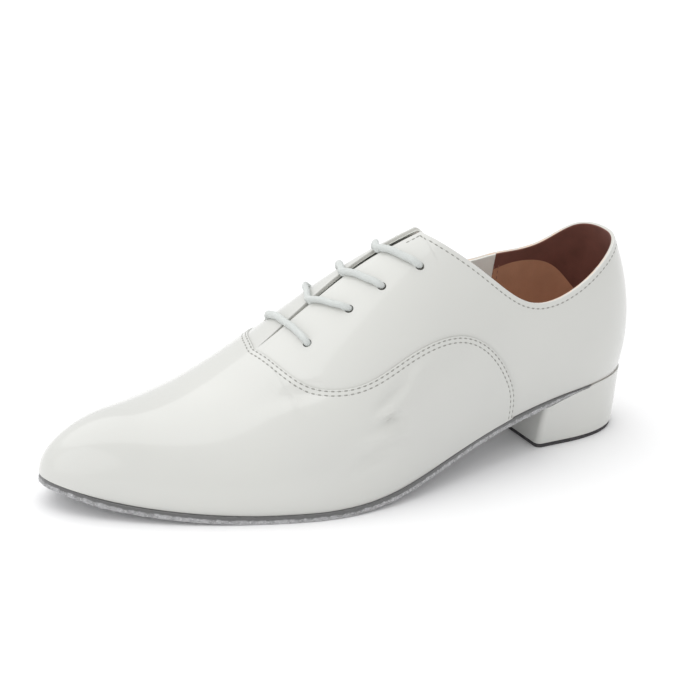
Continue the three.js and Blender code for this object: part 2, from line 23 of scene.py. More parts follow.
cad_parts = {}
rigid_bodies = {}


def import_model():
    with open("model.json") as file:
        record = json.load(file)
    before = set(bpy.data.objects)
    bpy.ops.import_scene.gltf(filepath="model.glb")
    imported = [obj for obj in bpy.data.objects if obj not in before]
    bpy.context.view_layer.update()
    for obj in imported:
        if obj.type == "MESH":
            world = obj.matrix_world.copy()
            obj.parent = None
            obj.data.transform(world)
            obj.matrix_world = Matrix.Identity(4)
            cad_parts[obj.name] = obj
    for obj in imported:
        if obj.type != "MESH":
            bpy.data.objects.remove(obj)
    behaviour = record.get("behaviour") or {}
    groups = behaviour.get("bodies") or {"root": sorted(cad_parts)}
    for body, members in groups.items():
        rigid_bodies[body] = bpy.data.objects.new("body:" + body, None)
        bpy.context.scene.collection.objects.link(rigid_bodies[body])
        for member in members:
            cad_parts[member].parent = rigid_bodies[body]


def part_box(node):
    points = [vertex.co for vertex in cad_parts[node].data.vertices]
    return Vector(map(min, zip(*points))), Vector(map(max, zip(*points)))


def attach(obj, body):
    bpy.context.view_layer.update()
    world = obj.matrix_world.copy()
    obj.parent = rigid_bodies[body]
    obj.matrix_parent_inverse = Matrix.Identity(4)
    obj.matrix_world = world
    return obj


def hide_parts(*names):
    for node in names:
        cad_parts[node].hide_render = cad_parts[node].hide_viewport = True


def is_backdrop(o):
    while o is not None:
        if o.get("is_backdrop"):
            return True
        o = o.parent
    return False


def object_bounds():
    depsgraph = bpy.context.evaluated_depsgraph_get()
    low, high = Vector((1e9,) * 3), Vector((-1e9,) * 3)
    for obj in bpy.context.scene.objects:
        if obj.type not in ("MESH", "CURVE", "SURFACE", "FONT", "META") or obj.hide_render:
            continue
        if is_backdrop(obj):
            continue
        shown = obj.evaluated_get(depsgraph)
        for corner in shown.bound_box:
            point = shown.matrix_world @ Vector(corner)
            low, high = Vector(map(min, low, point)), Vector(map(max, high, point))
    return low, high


for leftover in list(bpy.data.objects):
    bpy.data.objects.remove(leftover)

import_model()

log = logging.getLogger("ballroom_shoe")

MM = 0.001
BODY = "root"
TINY = 1e-6
NO_LENGTH = 1e-12

FAR = 99.0

Array = np.ndarray
Material = bpy.types.Material
Piece = bpy.types.Object
Socket = bpy.types.NodeSocket
Triple = tuple[float, float, float]
Levels = tuple[tuple[float, float], ...]
Place = Callable[[float, float, float], Array]


class Side(Enum):
    """The two sides of the foot, with the way each lies along Y."""

    LATERAL = -1
    MEDIAL = 1

    @property
    def column(self) -> str:
        """Name of this side's column in the tables."""
        return self.name.lower()


class Slot(Enum):
    """The record's material slots."""

    PATENT = "patent"
    TONGUE = "tongue"
    INSOLE = "insole"
    SUEDE = "suede"
    HEEL_COVER = "heel_cover"
    TOP_PIECE = "top_piece"
    LACE = "lace"


# Small mathematics


class NaturalCurve:
    """A natural cubic curve through a short table of named points."""

    def __init__(self, at: Sequence[float], values: Sequence[float]) -> None:
        """Solves the curve's bends.

        Args:
            at: Places of the points, rising.
            values: The curve's values there.
        """
        self.at = np.asarray(at, float)
        self.values = np.asarray(values, float)
        gaps = np.diff(self.at)
        slopes = np.diff(self.values) / gaps
        matrix = np.eye(len(self.at))
        target = np.zeros(len(self.at))
        for i in range(1, len(self.at) - 1):
            matrix[i, i - 1:i + 2] = gaps[i - 1], 2 * (gaps[i - 1] + gaps[i]), gaps[i]
            target[i] = 6 * (slopes[i] - slopes[i - 1])
        self.bend = np.linalg.solve(matrix, target)

    def __call__(self, at: Array) -> Array:
        """Values of the curve.

        Args:
            at: Places along the table.

        Returns:
            The curve's values at those places.
        """
        at = np.asarray(at, float)
        i = np.clip(np.searchsorted(self.at, at, side="right") - 1, 0, len(self.at) - 2)
        step = self.at[i + 1] - self.at[i]
        a = (self.at[i + 1] - at) / step
        b = (at - self.at[i]) / step
        curve = (a ** 3 - a) * self.bend[i] + (b ** 3 - b) * self.bend[i + 1]
        return a * self.values[i] + b * self.values[i + 1] + curve * step ** 2 / 6


def smooth(value: Array) -> Array:
    """A soft step from 0 to 1."""
    share = np.clip(value, 0, 1)
    return share * share * (3 - 2 * share)


def round_end(distance: Array, reach: float, bluntness: float) -> Array:
    """A quarter of a superellipse: 0 at the end and 1 from "reach" onwards.

    Args:
        distance: Distance from the end.
        reach: Where the full value starts.
        bluntness: Power of the superellipse.

    Returns:
        The share of the full value.
    """
    left = np.clip(1 - np.asarray(distance, float) / reach, 0, 1)
    return (1 - left ** bluntness) ** (1 / bluntness)


def bisect(low: Array, high: Array, is_below: Callable[[Array], Array], rounds: int = 40) -> Array:
    """Halves an interval for many values at once.

    Args:
        low: Lower ends.
        high: Upper ends.
        is_below: Tells for a middle value whether the answer lies above it.
        rounds: Number of halvings.

    Returns:
        The values where the test turns.
    """
    low = np.array(low, float)
    high = np.array(high, float)
    for _ in range(rounds):
        middle = (low + high) / 2
        below = is_below(middle)
        low = np.where(below, middle, low)
        high = np.where(below, high, middle)
    return (low + high) / 2


def lengths(points: Array) -> Array:
    """Running length of a line of points, along its second last axis.

    Args:
        points: The line's points, or several lines of them.

    Returns:
        The length up to each point.
    """
    steps = np.linalg.norm(np.diff(points, axis=-2), axis=-1)
    start = np.zeros(steps.shape[:-1] + (1,))
    return np.concatenate([start, np.cumsum(steps, axis=-1)], axis=-1)


def resample(points: Array, pitch: float) -> Array:
    """Places a line's points evenly.

    Args:
        points: Points of the line.
        pitch: Wanted distance between them.

    Returns:
        The even points, both ends among them.
    """
    run = lengths(points)
    count = max(int(round(run[-1] / pitch)), 1)
    even = np.linspace(0, run[-1], count + 1)
    return np.stack([np.interp(even, run, points[:, k]) for k in range(3)], -1)


def tangents(points: Array) -> Array:
    """Unit directions along a line of points."""
    way = np.gradient(points, axis=0)
    return way / np.maximum(np.linalg.norm(way, axis=1, keepdims=True), TINY)


def distance_to_line(places: Array, line: Array) -> Array:
    """Distance of each place from an open line of points.

    Args:
        places: Places, one a row.
        line: Points of the line.

    Returns:
        The distances, one for each place.
    """
    best = np.full(len(places), np.inf)
    starts = line[:-1]
    ways = np.diff(line, axis=0)
    for start, way in zip(starts, ways):
        long = max(float(way @ way), TINY)
        offset = places - start
        share = np.clip(offset @ way / long, 0, 1)
        best = np.minimum(best, np.linalg.norm(offset - share[:, None] * way, axis=1))
    return best


# The last


SECTION_COLUMNS = (
    "at", "lateral", "medial", "depth", "rise", "spring", "fullness", "side", "crown",
)
SECTIONS = (
    (0.00, 0.46, 0.54, 1.000, 1.000, 0.00, 1.00, 0.47, 0.37),
    (0.12, 0.54, 0.57, 0.994, 0.984, 0.00, 0.94, 0.48, 0.37),
    (0.25, 0.63, 0.58, 1.000, 0.787, 0.00, 0.88, 0.53, 0.42),
    (0.40, 0.83, 0.54, 0.970, 0.422, 0.00, 0.66, 0.57, 0.47),
    (0.52, 0.98, 0.85, 0.876, 0.098, 0.00, 0.42, 0.57, 0.49),
    (0.63, 1.00, 1.03, 0.652, 0.000, 0.00, 0.36, 0.57, 0.52),
    (0.73, 0.88, 1.00, 0.466, 0.000, 0.00, 0.39, 0.56, 0.57),
    (0.84, 0.74, 0.88, 0.360, 0.000, 0.19, 0.31, 0.56, 0.58),
    (0.93, 0.61, 0.67, 0.309, 0.000, 0.52, 0.18, 0.56, 0.57),
    (1.00, 0.53, 0.53, 0.247, 0.000, 1.00, 0.09, 0.56, 0.57),
)

COLLAR_COLUMNS = ("at", "lateral", "medial")
COLLAR = (
    (0.00, 1.034, 1.034),
    (0.04, 0.998, 1.008),
    (0.10, 0.918, 0.902),
    (0.19, 0.823, 0.866),
    (0.25, 0.856, 0.856),
    (0.32, 1.028, 0.990),
    (0.36, 1.128, 1.120),
    (0.40, 1.200, 1.200),
    (0.44, 1.222, 1.222),
)

SEAM_COLUMNS = ("at", "up")
SEAM = {
    Side.LATERAL: (
        (0.264, 0.000), (0.269, 0.090), (0.286, 0.170), (0.310, 0.250), (0.345, 0.330),
        (0.385, 0.385), (0.430, 0.415), (0.480, 0.427), (0.530, 0.431), (0.575, 0.463),
        (0.612, 0.535), (0.637, 0.635), (0.652, 0.790), (0.661, 1.000),
    ),
    Side.MEDIAL: (
        (0.236, 0.000), (0.238, 0.080), (0.244, 0.165), (0.262, 0.235), (0.292, 0.270),
        (0.335, 0.277), (0.380, 0.257), (0.425, 0.250), (0.470, 0.272), (0.515, 0.335),
        (0.556, 0.420), (0.592, 0.520), (0.622, 0.640), (0.645, 0.800), (0.661, 1.000),
    ),
}

# Share at which each eyelet pair sits, and how far towards the toe the lace crosses before it.
EYELET_PAIRS = (
    (0.607, 0.004),
    (0.540, 0.031),
    (0.486, 0.031),
    (0.421, 0.039),
)


def column(rows: Sequence[Sequence[float]], columns: Sequence[str], name: str) -> Array:
    """One named column of a short table."""
    return np.array([row[columns.index(name)] for row in rows])


@dataclass
class ShoeLast:
    """The last that the shoe is built on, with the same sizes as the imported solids."""

    length: float = 288.0
    ball_width: float = 98.0
    instep_depth: float = 97.0
    heel_height: float = 28.0
    toe_spring: float = 10.4
    side_fullness: float = 11.0
    fullness_depth: float = 40.0
    toe_swing: float = 15.0
    ridge_shift: float = 5.0
    collar_height: float = 91.0
    sole_thickness: float = 3.3
    clearance: float = 0.3
    heel_round: float = 0.14
    toe_round: float = 0.31
    toe_cap: float = 0.13
    heel_bluntness: float = 2.4
    toe_bluntness: float = 2.2
    swing_start: float = 0.45
    spine_start: float = 0.12
    ridge_reach: float = 0.3
    heel_length: float = 56.0
    normal_step: float = 1e-4
    shift: Array = field(default_factory=lambda: np.zeros(3))

    def __post_init__(self) -> None:
        """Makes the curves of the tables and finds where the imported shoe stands."""
        at = column(SECTIONS, SECTION_COLUMNS, "at")
        self.table = {
            name: NaturalCurve(at, column(SECTIONS, SECTION_COLUMNS, name))
            for name in SECTION_COLUMNS[1:]
        }
        at = column(COLLAR, COLLAR_COLUMNS, "at")
        self.collar = {
            side: NaturalCurve(at, column(COLLAR, COLLAR_COLUMNS, side.column)) for side in Side
        }
        breast = self.length / 2 - self.heel_length
        heel_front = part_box("heel")[0].x / MM
        low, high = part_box("heel_top_piece")
        self.shift = np.array([heel_front - breast, (low.y + high.y) / 2 / MM, 0.0])

    def along(self, share: Array, inset: float = 0.0) -> Array:
        """Place along X of a share of the length, on a last shorter by "inset" at each end."""
        return self.length / 2 - inset - share * (self.length - 2 * inset)

    def axis_y(self, share: Array) -> Array:
        """Sideways swing of the last's middle."""
        start = self.swing_start
        return self.toe_swing * (np.maximum(0, share - start) / (1 - start)) ** 2

    def tread_rise(self, share: Array) -> Array:
        """Height of the outsole's underside above the floor."""
        heel = (self.heel_height - self.sole_thickness - self.clearance) * self.table["rise"](share)
        return np.maximum(0, heel) + np.maximum(0, self.toe_spring * self.table["spring"](share))

    def feather_z(self, share: Array) -> Array:
        """Height of the feather edge, where the upper meets the sole."""
        return self.sole_thickness + self.clearance + self.tread_rise(share)

    def half_width(self, share: Array, side: Side, inset: float = 0.0) -> Array:
        """Half the last's width on one side, less an inset.

        Args:
            share: Shares of the length.
            side: Side of the foot.
            inset: How far inside the outline, in millimetres.

        Returns:
            The half widths, in millimetres.
        """
        full = self.table[side.column](share) * self.ball_width / 2 - inset
        heel = round_end(share, self.heel_round, self.heel_bluntness)
        return full * heel * round_end(1 - share, self.toe_round, self.toe_bluntness)

    def spine_share(self, share: Array) -> Array:
        """Share at which a section's profile reaches the ridge."""
        return np.hypot(share, self.spine_start * (1 - share) ** 2)

    def ridge_y(self, share: Array) -> Array:
        """Sideways place of the ridge.

        Args:
            share: Shares of the length.

        Returns:
            Places along Y, in millimetres.
        """
        reach = self.ridge_reach
        bow = np.clip((share - reach) / reach, 0, 1) * np.clip((1 - share) / reach, 0, 1)
        return self.axis_y(share) + self.ridge_shift * bow

    def point(self, share: Array, up: Array, side: Side) -> Array:
        """Points of the last's surface.

        Args:
            share: Shares of the length.
            up: Shares of each section's profile.
            side: Side of the foot.

        Returns:
            The points, in millimetres.
        """
        share, up = np.broadcast_arrays(np.asarray(share, float), np.asarray(up, float))
        crest = self.spine_share(share)
        foot_y = self.axis_y(share) + side.value * self.half_width(share, side)
        foot_z = self.feather_z(share)
        reach_x = self.along(crest) - self.along(share)
        reach_y = self.ridge_y(crest) - foot_y
        width = np.maximum(np.hypot(reach_x, reach_y), TINY)
        crest_z = self.feather_z(crest) + self.instep_depth * self.table["depth"](crest)
        height = (crest_z - foot_z) * round_end(1 - share, self.toe_cap, self.toe_bluntness)
        fullness = self.side_fullness * self.table["fullness"](share)
        fullness = fullness * np.clip(height / self.fullness_depth, 0, 1)
        down = 1 - up
        low = 3 * up * down ** 2
        high = 3 * up ** 2 * down
        inward = high * (1 - self.table["crown"](share)) + up ** 3 - low * fullness / width
        upward = low * self.table["side"](share) + high + up ** 3
        x = self.along(share) + reach_x * inward
        y = foot_y + reach_y * inward
        z = foot_z + height * upward
        return np.stack([x, y, z], -1) + self.shift

    def normal(self, share: Array, up: Array, side: Side) -> Array:
        """Outward normals of the last's surface, shared by both sides where they meet.

        Args:
            share: Shares of the length.
            up: Shares of each section's profile.
            side: Side of the foot.

        Returns:
            Unit normals.
        """
        share, up = np.broadcast_arrays(np.asarray(share, float), np.asarray(up, float))
        own = self._side_normal(share, up, side)
        shared = (up > 1 - TINY) | (share < TINY)
        if shared.any():
            other = Side.MEDIAL if side is Side.LATERAL else Side.LATERAL
            both = own + self._side_normal(share, up, other)
            own = np.where(shared[..., None], both, own)
        return own / np.linalg.norm(own, axis=-1, keepdims=True)

    def _side_normal(self, share: Array, up: Array, side: Side) -> Array:
        """Normals taken from one side's own surface.

        Args:
            share: Shares of the length.
            up: Shares of each section's profile.
            side: Side of the foot.

        Returns:
            Unit normals.
        """
        step = self.normal_step
        forward = self.point(share + step, up, side) - self.point(share - step, up, side)
        high = np.minimum(1, up + step)
        climb = self.point(share, high, side) - self.point(share, high - step, side)
        across = np.cross(forward, climb) * side.value
        return across / np.maximum(np.linalg.norm(across, axis=-1, keepdims=True), NO_LENGTH)

    def up_at_distance(self, share: Array, distance: Array, side: Side) -> Array:
        """Where the profile lies a given distance across from the ridge.

        Args:
            share: Shares of the length.
            distance: Distances across, in millimetres.
            side: Side of the foot.

        Returns:
            Shares of the profile.
        """
        share = np.asarray(share, float)
        crest = self.spine_share(share)
        ridge = np.stack([self.along(crest), self.ridge_y(crest)], -1) + self.shift[:2]

        def is_below(up: Array) -> Array:
            """Tells whether the profile still lies farther from the ridge."""
            reach = self.point(share, up, side)[..., :2] - ridge
            return np.linalg.norm(reach, axis=-1) > distance

        return bisect(np.zeros_like(share), np.ones_like(share), is_below)

    def up_at_height(self, share: Array, height: Array, side: Side) -> Array:
        """Where the profile reaches a height.

        Args:
            share: Shares of the length.
            height: Heights above the floor, in millimetres.
            side: Side of the foot.

        Returns:
            Shares of the profile.
        """
        share = np.asarray(share, float)
        return bisect(
            np.zeros_like(share),
            np.ones_like(share),
            lambda up: self.point(share, up, side)[..., 2] < height,
        )


# Meshes


def in_metres(points: Array) -> Array:
    """Points in metres, the frame's unit."""
    return np.asarray(points, float) * MM


def link_new(name: str, data: bpy.types.ID) -> Piece:
    """Makes an object for some data and links it to the scene.

    Args:
        name: Name of the piece.
        data: Its mesh, camera or light.

    Returns:
        The linked object.
    """
    made = bpy.data.objects.new(name, data)
    bpy.context.scene.collection.objects.link(made)
    return made


def make_object(name: str, points: Array, faces: Sequence[Sequence[int]]) -> Piece:
    """Makes a mesh object from points in millimetres.

    Args:
        name: Name of the piece.
        points: Its points.
        faces: Its faces as lists of point numbers.

    Returns:
        The linked object, at the origin.
    """
    mesh = bpy.data.meshes.new(name)
    mesh.from_pydata(in_metres(points).tolist(), [], [list(face) for face in faces])
    mesh.update()
    return link_new(name, mesh)


@contextmanager
def mesh_edit(made: Piece) -> Iterator[bmesh.types.BMesh]:
    """Opens a piece's mesh for editing, and closes it with its faces turned outwards.

    Args:
        made: The piece.

    Returns:
        The mesh, open for editing.
    """
    work = bmesh.new()
    work.from_mesh(made.data)
    yield work
    bmesh.ops.recalc_face_normals(work, faces=work.faces)
    work.to_mesh(made.data)
    work.free()


def tidy_mesh(made: Piece, merge: float = 0.004) -> None:
    """Merges doubles, drops loose bits, turns faces outwards and shades the mesh smoothly.

    Args:
        made: The object.
        merge: Distance within which points are merged, in millimetres.
    """
    with mesh_edit(made) as work:
        bmesh.ops.remove_doubles(work, verts=work.verts, dist=merge * MM)
        bmesh.ops.dissolve_degenerate(work, edges=work.edges, dist=merge * MM / 4)
        loose = [vert for vert in work.verts if not vert.link_faces]
        bmesh.ops.delete(work, geom=loose, context="VERTS")
    shade(made)


def shade(made: Piece, crease_degrees: float = 42.0) -> None:
    """Shades a mesh smoothly, with sharp edges past an angle."""
    made.data.shade_smooth()
    made.data.set_sharp_from_angle(angle=math.radians(crease_degrees))


def grid_faces(rings: int, points: int) -> list[Sequence[int]]:
    """Faces between closed rings of equally many points.

    Args:
        rings: Number of rings.
        points: Points in each ring.

    Returns:
        Quads of point numbers.
    """
    faces = []
    for i in range(rings - 1):
        low, high = i * points, (i + 1) * points
        for j in range(points):
            k = (j + 1) % points
            faces.append((low + j, low + k, high + k, high + j))
    return faces


def capped_faces(rings: int, points: int) -> list[Sequence[int]]:
    """Faces of a closed body: those between its rings, and one over each end."""
    ends = [list(range(points))[::-1], [(rings - 1) * points + j for j in range(points)]]
    return grid_faces(rings, points) + ends


def loft(name: str, rings: Array) -> Piece:
    """Makes a closed body through rings of points, with a face over each end.

    Args:
        name: Name of the piece.
        rings: Array of rings, of points, of coordinates in millimetres.

    Returns:
        The linked object.
    """
    made = make_object(name, rings.reshape(-1, 3), capped_faces(*rings.shape[:2]))
    tidy_mesh(made)
    return made


def set_float(made: Piece, name: str, values: Array) -> None:
    """Stores one number for each point of a mesh."""
    attribute = made.data.attributes.new(name, "FLOAT", "POINT")
    attribute.data.foreach_set("value", np.asarray(values, np.float32))


def read_points(made: Piece) -> Array:
    """Points of a mesh, in millimetres.

    Args:
        made: The piece.

    Returns:
        The points, one a row.
    """
    places = np.zeros(len(made.data.vertices) * 3)
    made.data.vertices.foreach_get("co", places)
    return places.reshape(-1, 3) / MM


CORD_TIP = 0.02


def tube(name: str, path: Array, radius: float, sides: int = 16, flatten: float = 1.0) -> Piece:
    """Sweeps a round cord with rounded ends along a path.

    Args:
        name: Name of the piece.
        path: Points of the centre line, in millimetres.
        radius: Radius of the cord.
        sides: Points round it.
        flatten: Height of its section as a share of its width.

    Returns:
        The object, with a map "cord_map" of the length along it and the turn, in millimetres.
    """
    way = tangents(path)
    normal = np.cross(way[0], (0.0, 0.0, 1.0))
    normal = np.cross(normal / np.linalg.norm(normal), way[0])
    run = lengths(path)
    rings = []
    for i, place in enumerate(path):
        normal = normal - way[i] * (normal @ way[i])
        normal = normal / np.linalg.norm(normal)
        side = np.cross(way[i], normal)
        end = min(run[i], run[-1] - run[i])
        left = 1 - min(end / radius, 1)
        size = radius * float(np.sqrt(np.clip(1 - left ** 2, CORD_TIP, 1)))
        turn = np.linspace(0, 2 * np.pi, sides, endpoint=False)
        ring = np.cos(turn)[:, None] * side * size + np.sin(turn)[:, None] * normal * size * flatten
        rings.append(place + ring)
    rings = np.array(rings)
    made = make_object(name, rings.reshape(-1, 3), capped_faces(len(path), sides))
    layer = made.data.uv_layers.new(name="cord_map")
    around = 2 * np.pi * radius / sides
    for polygon in made.data.polygons:
        turns = [made.data.loops[k].vertex_index % sides for k in polygon.loop_indices]
        wraps = max(turns) - min(turns) > 1 and len(turns) == 4
        for k, turn in zip(polygon.loop_indices, turns):
            ring = made.data.loops[k].vertex_index // sides
            whole = turn + sides if wraps and turn == 0 else turn
            layer.data[k].uv = (run[ring], whole * around)
    with mesh_edit(made):
        made.data.shade_smooth()
    return made


# Materials


# Numbers of a mixing node's colour sockets, whose names aren't their own.
MIX_FIRST = 6
MIX_SECOND = 7
MIX_RESULT = 2


class Sheet:
    """A material's node tree, with short ways to add and join its nodes."""

    def __init__(self, name: str) -> None:
        """Starts a material with its shader and output.

        Args:
            name: Name of the material.
        """
        self.material = bpy.data.materials.new(name)
        self.material.use_nodes = True
        self.tree = self.material.node_tree
        self.tree.nodes.clear()
        self.shader = self.tree.nodes.new("ShaderNodeBsdfPrincipled")
        output = self.tree.nodes.new("ShaderNodeOutputMaterial")
        self.join(self.shader.outputs["BSDF"], output.inputs["Surface"])

    def join(self, source: Socket, target: Socket) -> None:
        """Joins two sockets."""
        self.tree.links.new(source, target)

    def node(self, kind: str, **settings: object) -> bpy.types.Node:
        """Adds a node and sets its properties.

        Args:
            kind: Type of the node.
            settings: Its properties.

        Returns:
            The node.
        """
        made = self.tree.nodes.new(kind)
        for key, value in settings.items():
            setattr(made, key, value)
        return made

    def set(self, **values: object) -> None:
        """Sets numbers and colours on the shader's own sockets."""
        for key, value in values.items():
            self.shader.inputs[key.replace("_", " ")].default_value = value

    def feed(self, name: str, source: Socket) -> None:
        """Joins a socket to one of the shader's inputs."""
        self.join(source, self.shader.inputs[name])

    def place(self) -> Socket:
        """Object coordinates."""
        return self.node("ShaderNodeTexCoord").outputs["Object"]

    def attribute(self, name: str) -> Socket:
        """A number stored on the mesh's points."""
        return self.node("ShaderNodeAttribute", attribute_name=name).outputs["Fac"]

    def noise(
        self, scale: float, detail: float = 3.0, rough: float = 0.5, at: Optional[Socket] = None
    ) -> Socket:
        """Noise on object coordinates.

        Args:
            scale: Cells in a metre.
            detail: Layers of finer noise.
            rough: Weight of the finer layers.
            at: Coordinates to read, when not the object's own.

        Returns:
            The noise's value.
        """
        made = self.node("ShaderNodeTexNoise")
        made.inputs["Scale"].default_value = scale
        made.inputs["Detail"].default_value = detail
        made.inputs["Roughness"].default_value = rough
        self.join(at or self.place(), made.inputs["Vector"])
        return made.outputs["Fac"]

    def cells(self, scale: float, feature: str = "F1") -> Socket:
        """Distance to the nearest grain cell, on object coordinates.

        Args:
            scale: Cells in a metre.
            feature: What is measured in a cell.

        Returns:
            The distance.
        """
        made = self.node("ShaderNodeTexVoronoi", feature=feature)
        made.inputs["Scale"].default_value = scale
        self.join(self.place(), made.inputs["Vector"])
        return made.outputs["Distance"]

    def between(
        self, source: Socket, low: float, high: float, to_low: float = 0.0, to_high: float = 1.0
    ) -> Socket:
        """Maps a range of a number to another, held at its ends.

        Args:
            source: The number.
            low: Start of its range.
            high: End of its range.
            to_low: Result at the start.
            to_high: Result at the end.

        Returns:
            The mapped number.
        """
        made = self.node("ShaderNodeMapRange", clamp=True)
        self.join(source, made.inputs["Value"])
        ends = {"From Min": low, "From Max": high, "To Min": to_low, "To Max": to_high}
        for key, value in ends.items():
            made.inputs[key].default_value = value
        return made.outputs["Result"]

    def math(
        self, operation: str, first: Socket, second: object = 0.0
    ) -> Socket:
        """Combines two numbers.

        Args:
            operation: What is done.
            first: The first number.
            second: The second number or its socket.

        Returns:
            The result.
        """
        made = self.node("ShaderNodeMath", operation=operation)
        self.join(first, made.inputs[0])
        if isinstance(second, Socket):
            self.join(second, made.inputs[1])
        else:
            made.inputs[1].default_value = second
        return made.outputs[0]

    def mix(self, share: Socket, first: object, second: object) -> Socket:
        """Mixes two colours.

        Args:
            share: Share of the second.
            first: A colour or its socket.
            second: A colour or its socket.

        Returns:
            The mixed colour.
        """
        made = self.node("ShaderNodeMix", data_type="RGBA")
        self.join(share, made.inputs["Factor"])
        for value, number in ((first, MIX_FIRST), (second, MIX_SECOND)):
            socket = made.inputs[number]
            if isinstance(value, Socket):
                self.join(value, socket)
            else:
                socket.default_value = (*value, 1.0)
        return made.outputs[MIX_RESULT]

    def bump(self, height: Socket, deep: float, strength: float = 1.0) -> None:
        """Adds relief under any relief that the shader has already.

        Args:
            height: Height from 0 to 1.
            deep: What 1 is, in millimetres.
            strength: Share of the effect.
        """
        made = self.node("ShaderNodeBump")
        made.inputs["Distance"].default_value = deep * MM
        made.inputs["Strength"].default_value = strength
        self.join(height, made.inputs["Height"])
        target = self.shader.inputs["Normal"]
        if target.is_linked:
            self.join(target.links[0].from_socket, made.inputs["Normal"])
        self.join(made.outputs["Normal"], target)


def scaled(colour: Triple, share: float) -> Triple:
    """A colour made lighter or darker."""
    return tuple(value * share for value in colour)


@dataclass(frozen=True)
class PatentWhite:
    """White coated leather: a soft gloss over a faint, close grain, with dirt and painted shade
    along the vamp's seam.
    """

    name: str = "patent_white"
    colour: Triple = (0.585, 0.588, 0.560)
    shade: Triple = (0.567, 0.570, 0.547)
    # Darker colour along the seam: partly dirt, partly painted shade in the lap's step.
    seam_dirt_and_shade: Triple = (0.36, 0.36, 0.33)
    seam_line: bool = True
    seam_strength: float = 0.3

    def material(self) -> Material:
        """Builds the node tree.

        Returns:
            The material.
        """
        sheet = Sheet(self.name)
        sheet.set(Roughness=0.36, Coat_Weight=0.75, Coat_Roughness=0.09, Specular_IOR_Level=0.4)
        cloud = sheet.noise(scale=16.0, detail=2.0)
        base = sheet.mix(sheet.between(cloud, low=0.35, high=0.7), self.colour, self.shade)
        if self.seam_line:
            # Along the vamp's seam the colour is darkened: partly dirt, partly painted shade in the
            # step where the vamp laps the quarter.
            seam = sheet.math("ABSOLUTE", sheet.attribute("seam"))
            line = sheet.between(seam, low=0.02, high=0.30, to_low=1.0, to_high=0.0)
            base = sheet.mix(sheet.math("MULTIPLY", line, self.seam_strength), base, self.seam_dirt_and_shade)
        sheet.feed("Base Color", base)
        haze = sheet.noise(scale=60.0, detail=2.0)
        gloss = sheet.between(haze, low=0.3, high=0.7, to_low=0.31, to_high=0.42)
        sheet.feed("Roughness", gloss)
        sheet.bump(sheet.noise(scale=38.0, detail=1.0), deep=0.35, strength=0.30)
        sheet.bump(sheet.cells(scale=1500.0), deep=0.02, strength=0.35)
        return sheet.material


@dataclass(frozen=True)
class CutEdge:
    """The raw cut edge of the upper along the topline: cream, a little fibrous."""

    name: str = "cut_edge"
    colour: Triple = (0.70, 0.54, 0.42)
    pale: Triple = (0.58, 0.575, 0.54)

    def material(self) -> Material:
        """Builds the node tree.

        Returns:
            The material.
        """
        sheet = Sheet(self.name)
        sheet.set(Roughness=0.7, Specular_IOR_Level=0.3)
        fleck = sheet.between(sheet.noise(scale=700.0), low=0.4, high=0.65)
        flecks = sheet.mix(fleck, self.colour, self.pale)
        share = sheet.attribute("share")
        back = sheet.between(share, low=0.05, high=0.065, to_low=1.0, to_high=0.0)
        front = sheet.between(share, low=0.300, high=0.345)
        plain = sheet.math("MAXIMUM", back, front)
        sheet.feed("Base Color", sheet.mix(plain, flecks, self.pale))
        sheet.bump(sheet.noise(scale=1400.0), deep=0.05, strength=0.6)
        return sheet.material


@dataclass(frozen=True)
class QuarterLining:
    """The inside: dark brown round the heel, tan below it, and white leather over the forefoot."""

    name: str = "quarter_lining"
    dark: Triple = (0.150, 0.058, 0.043)
    tan: Triple = (0.60, 0.31, 0.19)
    white: Triple = (0.94, 0.955, 0.91)
    border: float = 0.185
    border_blur: float = 0.0006
    worn_dark: float = 1.35
    worn_tan: float = 0.86

    def material(self) -> Material:
        """Builds the node tree.

        Returns:
            The material.
        """
        sheet = Sheet(self.name)
        sheet.set(Specular_IOR_Level=0.3, Sheen_Weight=0.08, Sheen_Roughness=0.5)
        cloud = sheet.between(sheet.noise(scale=90.0, detail=5.0), low=0.3, high=0.7)
        dark = sheet.mix(cloud, self.dark, scaled(self.dark, self.worn_dark))
        tan = sheet.mix(cloud, self.tan, scaled(self.tan, self.worn_tan))
        below = sheet.between(sheet.attribute("tan_edge"), low=-0.15, high=0.15)
        brown = sheet.mix(below, dark, tan)
        share, blur = sheet.attribute("share"), self.border_blur
        front = sheet.between(share, low=self.border - blur, high=self.border + blur)
        sheet.feed("Base Color", sheet.mix(front, brown, self.white))
        sheet.feed("Roughness", sheet.between(cloud, low=0, high=1, to_low=0.55, to_high=0.75))
        sheet.bump(sheet.cells(scale=900.0), deep=0.06, strength=0.5)
        return sheet.material


@dataclass(frozen=True)
class PlainLeather:
    """Smooth leather with a fine grain, such as the insole's."""

    name: str
    colour: Triple
    deep: Triple
    roughness: tuple[float, float] = (0.5, 0.7)
    grain: float = 1100.0
    relief: float = 0.05

    def material(self) -> Material:
        """Builds the node tree.

        Returns:
            The material.
        """
        sheet = Sheet(self.name)
        sheet.set(Specular_IOR_Level=0.35)
        cloud = sheet.between(sheet.noise(scale=45.0, detail=4.0), low=0.3, high=0.7)
        sheet.feed("Base Color", sheet.mix(cloud, self.colour, self.deep))
        low, high = self.roughness
        sheet.feed("Roughness", sheet.between(cloud, low=0, high=1, to_low=low, to_high=high))
        sheet.bump(sheet.cells(scale=self.grain), deep=self.relief, strength=0.5)
        return sheet.material


